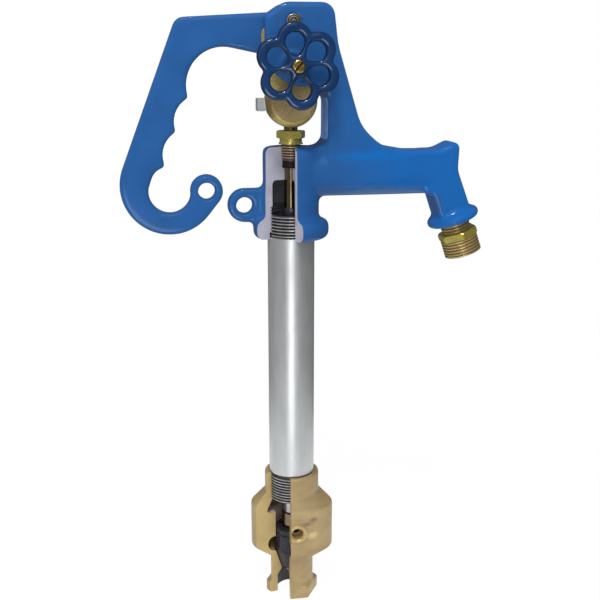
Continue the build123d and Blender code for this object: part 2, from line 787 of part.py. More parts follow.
def make_lever():
    """Outer outline as hulls of circles, less the hand opening, whose edge runs in arcs."""
    arch = (arch_x, fulcrum_z - arch_drop, arch_radius)
    upper_grip = (upper_grip_x, fulcrum_z - upper_grip_drop, grip_radius)
    lower_grip = (lower_grip_x, fulcrum_z - lower_grip_drop, grip_radius)
    hook_high = (hook_high_x, fulcrum_z - hook_high_drop, hook_high_radius)
    hook_low = (hook_inner_x, fulcrum_z - hook_inner_drop, hook_inner_radius)
    eye = (eye_x, fulcrum_z - eye_drop, eye_radius)
    hook_outer = (hook_outer_x, fulcrum_z - hook_outer_drop, hook_outer_radius)
    corner = (lever_corner_x, fulcrum_z - lever_corner_drop, lever_corner_radius)
    root = (0, fulcrum_z + lever_root_rise, lever_root_radius)
    hub = (0, fulcrum_z, lever_hub_radius)

    frame = make_hull(disc(hook_outer).edges() + disc(corner).edges() + disc(root).edges())
    tail = make_hull(disc(hook_outer).edges() + disc(eye).edges())
    chin = (chin_x, fulcrum_z - chin_drop)
    reach = sqrt((chin[0] - arch[0]) ** 2 + (chin[1] - arch[1]) ** 2)
    touch = atan2(chin[1] - arch[1], chin[0] - arch[0]) + acos(arch_radius / reach)
    arch_touch = (arch[0] + arch_radius * cos(touch), arch[1] + arch_radius * sin(touch))
    hook = make_hull(disc(hook_low).edges() + disc(hook_high).edges())
    middle = make_face(Polyline(
        chin,
        arch_touch,
        arch[:2],
        upper_grip[:2],
        lower_grip[:2],
        hook_low[:2],
        eye[:2],
        (slot_right_x, eye[1]),
        (slot_right_x, fulcrum_z - chin_inner_drop),
        (chin_inner_x, fulcrum_z - chin_inner_drop),
        close=True,
    ))
    hand_opening = disc(arch) + disc(upper_grip) + disc(lower_grip) + hook + middle
    outline = frame + tail - hand_opening + disc(eye) + disc(hub)
    rounds = [
        (crossing(arch, upper_grip, -1), grip_cusp_round),
        (crossing(upper_grip, lower_grip, -1), grip_cusp_round),
        (crossing(lower_grip, hook_high, -1), grip_cusp_round),
        (crossing(hook_low, eye, -1), hook_throat_round),
        (chin, chin_round),
    ]
    for (x, z), radius in rounds:
        outline = fillet(outline.vertices().sort_by_distance((x, z, 0))[0], radius)
    half = lever_thickness / 2
    front_y = -half - cut_over
    back_y = half + cut_over
    solid = plate(outline, -half, half)
    solid = fillet(solid.edges().filter_by(Axis.Y, reverse=True), lever_edge_round)
    solid = solid - cross_cylinder(lock_hole_radius, eye[0], eye[1], front_y, back_y)
    solid = solid - cross_cylinder(fulcrum_pin_radius + 2 * pin_fit, 0, fulcrum_z, front_y, back_y)
    return solid - cross_cylinder(drive_pin_radius + drive_pin_fit, drive_x, drive_z, front_y, back_y)


def make_fulcrum_pin():
    shank = cross_cylinder(
        fulcrum_pin_radius, 0, fulcrum_z, -cheek_outer_y - pin_fit, clip_y + fulcrum_tail_length
    )
    head = cross_cylinder(
        fulcrum_head_radius, 0, fulcrum_z, -cheek_outer_y - fulcrum_head_height, -cheek_outer_y
    )
    head = fillet(head.edges().group_by(Axis.Y)[0], fulcrum_head_round)
    groove_front_y = clip_y - clip_groove_gap
    groove_back_y = clip_y + clip_thickness + clip_groove_gap
    groove = cross_cylinder(fulcrum_head_radius, 0, fulcrum_z, groove_front_y, groove_back_y)
    core = cross_cylinder(
        fulcrum_pin_radius - clip_groove_depth, 0, fulcrum_z,
        groove_front_y - cut_over, groove_back_y + cut_over,
    )
    return head + (shank - (groove - core))


def make_fulcrum_clip():
    """Open ring that springs into the pin's groove behind the back cheek."""
    ring = cross_cylinder(clip_radius, 0, fulcrum_z, clip_y, clip_y + clip_thickness)
    hole = cross_cylinder(
        fulcrum_pin_radius - clip_groove_depth + clip_groove_gap, 0, fulcrum_z,
        clip_y - cut_over, clip_y + clip_thickness + cut_over,
    )
    mouth = Pos(0, clip_y, fulcrum_z - clip_radius) * Box(
        clip_mouth_width, 2 * (clip_thickness + cut_over), 2 * clip_radius
    )
    return ring - hole - mouth


def make_thrust_washer(side):
    inner = lever_thickness / 2 + side_gap / 2
    outer = cheek_inner_y - washer_gap
    near, far = sorted((side * inner, side * outer))
    ring = cross_cylinder(washer_radius, 0, fulcrum_z, near, far)
    return ring - cross_cylinder(
        fulcrum_pin_radius + pin_fit, 0, fulcrum_z, near - cut_over, far + cut_over
    )


def make_drive_pin():
    reach = fork_outer_y + drive_pin_end_gap
    pin = cross_cylinder(drive_pin_radius, drive_x, drive_z, -reach, reach)
    return chamfer(pin.edges(), drive_pin_chamfer)


def make_rod_connector():
    puck = cross_cylinder(connector_radius, 0, connector_z, -fork_outer_y, fork_outer_y)
    puck = fillet(puck.edges().group_by(Axis.Y)[0], connector_face_round)
    puck = fillet(puck.edges().group_by(Axis.Y)[-1], connector_face_round)
    slot_left = -drive_arm - drive_pin_radius - drive_slot_end_clearance
    slot_right = drive_x + drive_pin_radius + drive_slot_end_clearance
    slot_half = drive_pin_radius + drive_slot_clearance
    slot_centre = (slot_left + slot_right) / 2
    head_width = slot_right - slot_left + 2 * fork_wall
    head_height = 2 * slot_half + 2 * fork_wall
    fork_left = slot_centre - head_width / 2
    fork_right = slot_centre + head_width / 2
    fork_head = Pos(slot_centre, drive_z) * RectangleRounded(head_width, head_height, fork_head_round)
    fork_leg = make_face(Polyline(
        (fork_left, drive_z - drive_pin_radius),
        (fork_right, drive_z - drive_pin_radius),
        (fork_right, fulcrum_z - rod_lift - washer_radius - side_gap),
        (fork_right + fork_leg_spread, connector_z + fork_leg_foot_rise),
        (fork_leg_foot_x, connector_z + fork_leg_foot_rise),
        close=True,
    ))
    slot = Pos(slot_centre, drive_z) * RectangleRounded(
        slot_right - slot_left, 2 * slot_half, drive_pin_radius
    )
    fork = fork_head + fork_leg - slot
    front = plate(fork, -fork_outer_y, -fork_inner_y)
    back = plate(fork, fork_inner_y, fork_outer_y)
    body = puck + front + back
    stem_hole = upright_cylinder(stem_radius + stem_socket_fit, 0, stem_top_z + stem_end_gap)
    screw_hole = Pos(-connector_radius / 2 - stem_radius / 2, 0, screw_z) * Rot(0, 90, 0) * Cylinder(
        screw_radius + pin_fit, connector_radius
    )
    return body - stem_hole - screw_hole


def make_set_screw():
    head_right = -connector_radius - screw_head_gap
    head = Pos(head_right - screw_head_length / 2, 0, screw_z) * Box(
        screw_head_length, screw_head_width, screw_head_width
    )
    head = chamfer(head.edges().group_by(Axis.X)[0], screw_head_chamfer)
    tip = -stem_radius - pin_fit
    start = head_right - cut_over
    shank = Pos((start + tip) / 2, 0, screw_z) * Rot(0, 90, 0) * Cylinder(screw_radius, tip - start)
    return head + shank


def make_stem():
    rod = upright_cylinder(stem_radius, stem_bottom_z, stem_top_z)
    socket = upright_cylinder(
        rod_tip_radius + rod_tip_fit, stem_bottom_z - cut_over, stem_bottom_z + rod_tip_length
    )
    return rod - socket


def make_operating_rod():
    rod = upright_cylinder(rod_radius, rod_bottom_z, stem_bottom_z)
    upper_tip = upright_cylinder(
        rod_tip_radius, stem_bottom_z, stem_bottom_z + rod_tip_length - rod_tip_gap
    )
    socket_floor_z = plunger_stem_bottom_z + plunger_socket_floor
    lower_tip = upright_cylinder(rod_tip_radius, socket_floor_z + rod_tip_gap / 2, rod_bottom_z)
    return rod + upper_tip + lower_tip


def make_packing_nut():
    gland_top = barrel_top_z + nut_stand
    thread = threaded_rod(
        gland_radius, gland_thread_depth, gland_bottom_z + packing_height + follower_height,
        gland_top, gland_thread_pitch,
    )
    hub = turned_profile([
        (0, gland_top),
        (nut_hub_radius + nut_hub_lip, gland_top),
        (nut_hub_radius, gland_top + nut_hub_lip_height),
        (nut_hub_radius, nut_hex_bottom_z),
        (0, nut_hex_bottom_z),
    ])
    hex_bar = hexagon_bar(
        nut_hex_width, nut_hex_bottom_z, nut_hex_top_z, nut_hex_chamfer, nut_hex_chamfer_rise,
        nut_turn_deg,
    )
    bore = upright_cylinder(
        stem_radius + guide_clearance, gland_bottom_z, nut_hex_top_z + cut_over
    )
    return thread + hub + hex_bar - bore


def make_gland_ring(bottom_z, top_z, bore_clearance, edge_round):
    """Ring that fills the bottom of the gland's bore round the stem."""
    outer = gland_radius - gland_thread_depth + gland_clearance - packing_fit
    ring = upright_cylinder(outer, bottom_z, top_z)
    if edge_round > 0:
        ring = fillet(ring.edges(), edge_round)
    return ring - upright_cylinder(stem_radius + bore_clearance, bottom_z - cut_over, top_z + cut_over)


def make_packing_ring():
    return make_gland_ring(
        gland_bottom_z, gland_bottom_z + packing_height, stem_fit, packing_round
    )


def make_gland_follower():
    bottom_z = gland_bottom_z + packing_height
    return make_gland_ring(bottom_z, bottom_z + follower_height, guide_clearance, 0)


def make_plunger_stem():
    body = upright_cylinder(plunger_stem_radius, plunger_stem_bottom_z, rod_bottom_z)
    body = chamfer(body.edges().group_by(Axis.Z)[-1], plunger_stem_chamfer)
    stud = upright_cylinder(
        plunger_stud_radius, plunger_ring_z - plunger_stud_length, plunger_stem_bottom_z
    )
    socket = upright_cylinder(
        rod_tip_radius + rod_tip_fit, plunger_stem_bottom_z + plunger_socket_floor,
        rod_bottom_z + cut_over,
    )
    return body + stud - socket


def make_plunger_guide():
    rim = plunger_stem_bottom_z - plunger_rim_drop
    bore = plunger_stud_radius + plunger_stud_fit
    return turned_profile([
        (bore, plunger_ring_z),
        (plunger_radius, plunger_ring_z),
        (plunger_radius, rim - plunger_rim_groove - plunger_rim_slope),
        (plunger_radius - plunger_rim_groove, rim - plunger_rim_groove),
        (plunger_radius - plunger_rim_groove, rim),
        (plunger_radius, rim + plunger_rim_slope),
        (plunger_radius, plunger_stem_bottom_z - plunger_rim_chamfer),
        (plunger_radius - plunger_rim_chamfer, plunger_stem_bottom_z),
        (bore, plunger_stem_bottom_z),
    ])


def make_plunger():
    """Bullet of black rubber that closes on the seat."""
    shoulder_z = groove_z - groove_height / 2
    seat_top_z = seat_z + seat_height / 2
    wall_slope = (valve_bore_radius - seat_radius) / (shoulder_z - seat_top_z)
    low_z = seat_z + plunger_nose_rise
    low_radius = seat_radius + wall_slope * (low_z - seat_top_z) - plunger_seat_gap
    top_radius = plunger_radius - plunger_top_inset
    shoulder_radius = valve_bore_radius - plunger_seat_gap - plunger_shoulder_inset
    bulge_radius = (low_radius + plunger_tip_radius) / 2 + plunger_nose_bulge
    outline = make_face([
        Line((0, plunger_ring_z), (top_radius, plunger_ring_z)),
        Line((top_radius, plunger_ring_z), (shoulder_radius, shoulder_z)),
        Line((shoulder_radius, shoulder_z), (low_radius, low_z)),
        ThreePointArc(
            (low_radius, low_z),
            (bulge_radius, (low_z + plunger_tip_z) / 2),
            (plunger_tip_radius, plunger_tip_z),
        ),
        Line((plunger_tip_radius, plunger_tip_z), (0, plunger_tip_z)),
        Line((0, plunger_tip_z), (0, plunger_ring_z)),
    ])
    body = revolve(Plane.XZ * outline, Axis.Z)
    return body - upright_cylinder(
        plunger_stud_radius + plunger_stud_fit,
        plunger_ring_z - plunger_stud_length - plunger_stud_fit,
        plunger_ring_z + cut_over,
    )


def make_hose_nozzle():
    """Drawn with the outlet end downwards, then tilted with the outlet."""
    seat = -outlet_flange_half
    neck_bottom = seat - nozzle_neck_length
    hex_bottom = neck_bottom - nozzle_hex_height
    mouth = hex_bottom - hose_thread_length
    neck = threaded_rod(
        nozzle_neck_radius, nozzle_neck_thread_depth, neck_bottom,
        seat + nozzle_engagement - nozzle_end_gap, pipe_thread_pitch,
    )
    hex_bar = hexagon_bar(
        nozzle_hex_width, hex_bottom, neck_bottom, nozzle_hex_chamfer, nozzle_hex_chamfer_rise, 30
    )
    thread = threaded_rod(
        hose_thread_radius, hose_thread_depth, mouth + hose_lip_height - hose_lip_overlap,
        hex_bottom, hose_thread_pitch,
    )
    lip = upright_cylinder(hose_thread_radius, mouth, mouth + hose_lip_height)
    bore = upright_cylinder(hose_bore_radius, mouth - cut_over, seat + nozzle_engagement)
    return at_outlet(neck + hex_bar + thread + lip - bore)


def make_flow_wheel():
    lobes = Circle(wheel_lobe_orbit)
    openings = []
    for i in range(wheel_lobes):
        turn = radians(wheel_first_lobe_deg + i * 360 / wheel_lobes)
        along = (cos(turn), sin(turn))
        lobes = lobes + Pos(wheel_lobe_orbit * along[0], wheel_lobe_orbit * along[1]) * Circle(
            wheel_lobe_radius
        )
        wide_end = Pos(wheel_opening_orbit * along[0], wheel_opening_orbit * along[1]) * Circle(
            wheel_opening_radius
        )
        point = Pos(
            wheel_opening_point_orbit * along[0], wheel_opening_point_orbit * along[1]
        ) * Circle(wheel_opening_point_radius)
        openings.append(make_hull(wide_end.edges() + point.edges()))
    outline = lobes
    for opening in openings:
        outline = outline - opening
    half = wheel_thickness / 2
    rim = plate(Pos(0, wheel_z) * outline, wheel_y - half, wheel_y + half)
    rim = fillet(rim.edges().filter_by(Axis.Y, reverse=True), wheel_edge_round)
    hub = cross_cylinder(wheel_hub_radius, 0, wheel_z, wheel_hub_front_y, wheel_hub_back_y)
    hub = fillet(hub.edges().group_by(Axis.Y)[0], wheel_hub_round)
    bore = cross_cylinder(
        spindle_radius + spindle_wheel_fit, 0, wheel_z,
        spindle_end_y - spindle_wheel_fit, wheel_hub_back_y + cut_over,
    )
    screw_hole = cross_cylinder(
        wheel_screw_radius + wheel_screw_hole_clearance, 0, wheel_z,
        wheel_hub_front_y - cut_over, wheel_hub_back_y,
    )
    return rim + hub - bore - screw_hole


def make_wheel_spindle():
    tip_y = -cheek_inner_y - spindle_tip_gap
    bar = cross_cylinder(spindle_radius, 0, wheel_z, spindle_end_y, tip_y)
    bar = chamfer(bar.edges().group_by(Axis.Y)[-1], spindle_tip_chamfer)
    tapped = cross_cylinder(
        wheel_screw_radius + wheel_screw_thread_fit, 0, wheel_z, spindle_end_y - cut_over,
        wheel_hub_front_y + wheel_screw_length + wheel_screw_end_gap,
    )
    return bar - tapped


def make_wheel_screw():
    front_y = wheel_hub_front_y - wheel_screw_head_height
    head = cross_cylinder(wheel_screw_head_radius, 0, wheel_z, front_y, wheel_hub_front_y)
    head = fillet(head.edges().group_by(Axis.Y)[0], wheel_screw_head_round)
    shank = cross_cylinder(
        wheel_screw_radius, 0, wheel_z, wheel_hub_front_y, wheel_hub_front_y + wheel_screw_length
    )
    slot = Pos(0, front_y, wheel_z) * Rot(0, wheel_screw_slot_turn_deg, 0) * Box(
        wheel_screw_slot_width, 2 * wheel_screw_slot_depth, 4 * wheel_screw_head_radius
    )
    return head + shank - slot


pieces = {
    "head_casting": make_head_casting(),
    "standpipe": make_standpipe(),
    "valve_body": make_valve_body(),
    "lever": make_lever(),
    "fulcrum_pin": make_fulcrum_pin(),
    "fulcrum_clip": make_fulcrum_clip(),
    "thrust_washer_front": make_thrust_washer(-1),
    "thrust_washer_back": make_thrust_washer(1),
    "drive_pin": make_drive_pin(),
    "rod_connector": make_rod_connector(),
    "set_screw": make_set_screw(),
    "stem": make_stem(),
    "operating_rod": make_operating_rod(),
    "packing_nut": make_packing_nut(),
    "packing_ring": make_packing_ring(),
    "gland_follower": make_gland_follower(),
    "plunger_stem": make_plunger_stem(),
    "plunger_guide": make_plunger_guide(),
    "plunger": make_plunger(),
    "hose_nozzle": make_hose_nozzle(),
    "flow_wheel": make_flow_wheel(),
    "wheel_spindle": make_wheel_spindle(),
    "wheel_screw": make_wheel_screw(),
}
os.makedirs("parts", exist_ok=True)
for name, shape in pieces.items():
    export_step(shape, "parts/" + name + ".step")

print("rod lift", round(rod_lift, 3), "mm; drive pin at", round(drive_x, 2), round(drive_z, 2))
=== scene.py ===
import math

import bmesh
import bpy
from mathutils import Matrix, Vector


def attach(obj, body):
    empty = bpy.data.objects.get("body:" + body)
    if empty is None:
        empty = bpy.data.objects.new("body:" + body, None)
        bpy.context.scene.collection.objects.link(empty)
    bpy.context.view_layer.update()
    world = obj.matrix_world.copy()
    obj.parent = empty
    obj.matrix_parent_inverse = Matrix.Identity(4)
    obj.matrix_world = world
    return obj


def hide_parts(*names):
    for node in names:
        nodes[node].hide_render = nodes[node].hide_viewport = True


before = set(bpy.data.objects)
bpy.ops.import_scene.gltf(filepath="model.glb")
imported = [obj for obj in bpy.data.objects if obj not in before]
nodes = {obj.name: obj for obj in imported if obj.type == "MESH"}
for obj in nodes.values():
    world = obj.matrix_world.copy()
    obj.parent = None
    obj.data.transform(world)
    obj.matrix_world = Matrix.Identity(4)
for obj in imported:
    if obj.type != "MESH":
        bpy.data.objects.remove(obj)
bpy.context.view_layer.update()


# Head casting: grey iron, sand cast in one piece with its spout, upright and padlock lug, then
# enamelled blue. Two windows are milled out of the front left of the barrel after painting, so
# the cuts show bare pale iron round a dark, unpainted chamber. Sizes are in millimetres.

MM = 0.001
FLANGE_BOTTOM = 279.3
FLANGE_TOP = 293.0
FLANGE_RADIUS = 26.7
FLANGE_ROUND = 5.0
BARREL_TOP = 343.2
BARREL_RADIUS = 19.7
BARREL_ROUND = 4.0

WATERWAY_Z = 322.8
ARM_START_X = 5.0
ARM_END_X = 108.0
ARM_CORE_RADIUS = 10.5
FLANK_HALF_WIDTHS = [(60, 14.9), (81, 14.9), (100, 12.4)]
FLANK_BOTTOM = 322.0
FLANK_TOP = 340.0
FLANK_ROUND = 3.2
OUTLET = Vector((118.5, 0, 291.3))
OUTLET_TILT = math.radians(19)
OUTLET_DOWN = Vector((math.sin(OUTLET_TILT), 0, -math.cos(OUTLET_TILT)))
OUTLET_CORE_BELOW = 3.0
OUTLET_CORE_ABOVE = 32.0
OUTLET_CORE_RADIUS = 11.2


def quarter(radius_centre, height_centre, size, start_deg, end_deg, steps=6):
    """Points of a rounded corner, as radius and height."""
    points = []
    for i in range(steps + 1):
        turn = math.radians(start_deg + (end_deg - start_deg) * i / steps)
        points.append(
            (radius_centre + size * math.cos(turn), height_centre + size * math.sin(turn))
        )
    return points


def turned(points, steps=96):
    """Closed solid of revolution about Z from radius and height."""
    bm = bmesh.new()
    verts = [bm.verts.new((r * MM, 0, z * MM)) for r, z in points]
    edges = [bm.edges.new(pair) for pair in zip(verts, verts[1:])]
    bmesh.ops.spin(
        bm, geom=verts + edges, cent=(0, 0, 0), axis=(0, 0, 1), angle=math.tau, steps=steps,
        use_merge=True,
    )
    bmesh.ops.remove_doubles(bm, verts=bm.verts, dist=1e-7)
    bmesh.ops.recalc_face_normals(bm, faces=bm.faces)
    return bm


def rod_between(start, end, radius, end_radius=None, segments=64):
    """Closed cylinder or cone between two points."""
    start = Vector(start) * MM
    end = Vector(end) * MM
    along = end - start
    turn = along.to_track_quat("Z", "Y").to_matrix().to_4x4()
    bm = bmesh.new()
    bmesh.ops.create_cone(
        bm, cap_ends=True, segments=segments, radius1=radius * MM,
        radius2=(end_radius or radius) * MM, depth=along.length,
        matrix=Matrix.Translation((start + end) / 2) @ turn,
    )
    return bm


def prism(outline, bottom, top):
    """Closed solid over an outline of X and Y."""
    bm = bmesh.new()
    base = bm.faces.new([bm.verts.new((x * MM, y * MM, bottom * MM)) for x, y in outline])
    grown = bmesh.ops.extrude_face_region(bm, geom=[base])
    raised = [g for g in grown["geom"] if isinstance(g, bmesh.types.BMVert)]
    bmesh.ops.translate(bm, verts=raised, vec=(0, 0, (top - bottom) * MM))
    bmesh.ops.recalc_face_normals(bm, faces=bm.faces)
    return bm


def round_over(bm, edges, size, segments):
    bmesh.ops.bevel(
        bm, geom=edges, offset=size * MM, segments=segments, affect="EDGES", profile=0.5,
        material=-1,
    )


def merged_copy(node):
    bm = bmesh.new()
    bm.from_mesh(nodes[node].data)
    bmesh.ops.remove_doubles(bm, verts=bm.verts, dist=1e-7)
    return bm


def as_object(bm, name):
    mesh = bpy.data.meshes.new(name)
    bm.to_mesh(mesh)
    bm.free()
    piece = bpy.data.objects.new(name, mesh)
    bpy.context.scene.collection.objects.link(piece)
    return piece


def join(base, *others):
    """Adds the other solids' shells to base."""
    for other in others:
        mesh = bpy.data.meshes.new("shell")
        other.to_mesh(mesh)
        other.free()
        base.from_mesh(mesh)
        bpy.data.meshes.remove(mesh)
    return base


def bake_modifiers(piece):
    graph = bpy.context.evaluated_depsgraph_get()
    mesh = bpy.data.meshes.new_from_object(piece.evaluated_get(graph))
    piece.modifiers.clear()
    piece.data = mesh


def add_remesh(piece, voxel):
    skin = piece.modifiers.new("skin", "REMESH")
    skin.mode = "VOXEL"
    skin.voxel_size = voxel * MM


def cast_skin(piece, voxel, passes, fillet=0.0):
    """One skin round overlapping shells, its corners rounded as they come out of the sand.

    A fillet grows the shells and shrinks them again, which fills the inner corners.
    """
    for shift in (fillet, -fillet):
        add_remesh(piece, voxel)
        if fillet > 0:
            offset = piece.modifiers.new("offset", "DISPLACE")
            offset.strength = shift * MM
            offset.mid_level = 0
    add_remesh(piece, voxel)
    smooth = piece.modifiers.new("smooth", "SMOOTH")
    smooth.factor = 0.5
    smooth.iterations = passes
    bake_modifiers(piece)


# The skin is cast whole, round the CAD solid and what the windows have taken from it.
uncut_barrel = turned(
    [(0, FLANGE_BOTTOM)]
    + quarter(FLANGE_RADIUS - FLANGE_ROUND, FLANGE_BOTTOM + FLANGE_ROUND, FLANGE_ROUND, -90, 0)
    + quarter(FLANGE_RADIUS - FLANGE_ROUND, FLANGE_TOP - FLANGE_ROUND, FLANGE_ROUND, 0, 90)
    + [(BARREL_RADIUS, FLANGE_TOP)]
    + quarter(BARREL_RADIUS - BARREL_ROUND, BARREL_TOP - BARREL_ROUND, BARREL_ROUND, 0, 90)
    + [(0, BARREL_TOP)]
)
arm_core = rod_between(
    (ARM_START_X, 0, WATERWAY_Z), (ARM_END_X, 0, WATERWAY_Z), ARM_CORE_RADIUS
)
outlet_core = rod_between(
    OUTLET + OUTLET_DOWN * OUTLET_CORE_BELOW, OUTLET - OUTLET_DOWN * OUTLET_CORE_ABOVE,
    OUTLET_CORE_RADIUS,
)
arm_flanks = prism(
    [(x, -half) for x, half in FLANK_HALF_WIDTHS]
    + [(x, half) for x, half in reversed(FLANK_HALF_WIDTHS)],
    FLANK_BOTTOM, FLANK_TOP,
)
shoulders = [
    e for e in arm_flanks.edges
    if min(v.co.z for v in e.verts) > (FLANK_TOP - 1) * MM
    and e.verts[0].co.y * e.verts[1].co.y > 0
]
round_over(arm_flanks, shoulders, FLANK_ROUND, 5)
head_piece = as_object(
    join(merged_copy("head_casting"), uncut_barrel, arm_core, outlet_core, arm_flanks),
    "head_casting_skin",
)
cast_skin(head_piece, voxel=0.9, passes=8, fillet=2.2)

# The pipe's socket, the chamber, the gland and the waterway are then machined out of it, and last
# the two windows.
PIPE_TOP = 296.3
PIPE_PITCH = 2.21
SOCKET_RADIUS = 16.95
SOCKET_DEPTH = 4.5
TAPPED_CREST = 16.05
TAPPED_ROOT = 14.65
FREE_CREST = 16.2
FREE_ROOT = 14.8
FREE_PITCH = 1.95
CHAMBER_RADIUS = 14.6
CHAMBER_FLOOR = 302.3
CHAMBER_ROOF = 320.4
CHAMBER_ROUND = 3.0
STEM_HOLE_RADIUS = 4.95
GLAND_BOTTOM = 328.7
GLAND_RADIUS = 6.72
GLAND_CREST = 7.52
GLAND_PLAIN = 6.2
GLAND_PITCH = 1.8
GLAND_MOUTH_RADIUS = 6.75
ABOVE_BARREL = 350.0
WATERWAY_RADIUS = 8.0
WATERWAY_START_X = 9.0
WATERWAY_END_X = 107.0

WINDOW_X = 0.5
WINDOW_TURN = math.radians(20)
WINDOW_MOUTH_Y = 17.5
WINDOW_FLARE = math.radians(25)
GLAND_CUT_X = 2.0
GLAND_CUT_Y = -17.0


def ridges(crest, root, bottom, count, pitch):
    """Points up a threaded wall with one pointed ridge for each pitch."""
    profile = ((root, 0.08), (crest, 0.48), (crest, 0.62))
    return [
        (radius, bottom + i * pitch + share * pitch)
        for i in range(count) for radius, share in profile
    ]


def cut_out(piece, *tools, operation="DIFFERENCE"):
    """Takes closed shells out of the piece, or adds them with UNION, with crisp edges."""
    cutters = []
    for tool in tools:
        cutter = as_object(tool, "cutter")
        cut = piece.modifiers.new("cut", "BOOLEAN")
        cut.operation = operation
        cut.solver = "EXACT"
        cut.object = cutter
        cutters.append(cutter)
    bake_modifiers(piece)
    for cutter in cutters:
        bpy.data.objects.remove(cutter)


def window_tool(cut_x, turn, mouth_y, flare, bottom, top):
    """Wedge that the milling cutter takes away, open to the front left."""
    reach = 90
    return prism([
        (cut_x, cut_x * math.tan(turn)),
        (-reach, -reach * math.tan(turn)),
        (-reach, -reach),
        (cut_x + (reach - mouth_y) * math.tan(flare), -reach),
        (cut_x, -mouth_y),
    ], bottom, top)


head_cavity = turned(
    [(0, FLANGE_BOTTOM - 3), (SOCKET_RADIUS, FLANGE_BOTTOM - 3)]
    + [(SOCKET_RADIUS, FLANGE_BOTTOM + SOCKET_DEPTH)]
    + ridges(TAPPED_CREST, TAPPED_ROOT, PIPE_TOP - 5 * PIPE_PITCH, 5, PIPE_PITCH)
    + [(TAPPED_ROOT, PIPE_TOP + 0.2)]
    + ridges(FREE_CREST, FREE_ROOT, PIPE_TOP + 0.2, 3, FREE_PITCH)
    + [(CHAMBER_RADIUS, CHAMBER_FLOOR)]
    + quarter(CHAMBER_RADIUS - CHAMBER_ROUND, CHAMBER_ROOF - CHAMBER_ROUND, CHAMBER_ROUND, 0, 90)
    + [(STEM_HOLE_RADIUS, CHAMBER_ROOF), (STEM_HOLE_RADIUS, GLAND_BOTTOM)]
    + [(GLAND_RADIUS, GLAND_BOTTOM), (GLAND_RADIUS, GLAND_BOTTOM + GLAND_PLAIN)]
    + ridges(GLAND_CREST, GLAND_RADIUS, GLAND_BOTTOM + GLAND_PLAIN, 5, GLAND_PITCH)
    + [(GLAND_MOUTH_RADIUS, ABOVE_BARREL), (0, ABOVE_BARREL)]
)
waterway = rod_between(
    (WATERWAY_START_X, 0, WATERWAY_Z), (WATERWAY_END_X, 0, WATERWAY_Z), WATERWAY_RADIUS
)
head_window = window_tool(
    WINDOW_X, WINDOW_TURN, WINDOW_MOUTH_Y, WINDOW_FLARE, FLANGE_BOTTOM - 2, BARREL_TOP + 1
)
gland_window = prism(
    [(-1, GLAND_CUT_Y), (GLAND_CUT_X, GLAND_CUT_Y), (GLAND_CUT_X, 0), (-1, 0)],
    GLAND_BOTTOM, BARREL_TOP + 1,
)
cut_out(head_piece, head_cavity, waterway, head_window, gland_window)


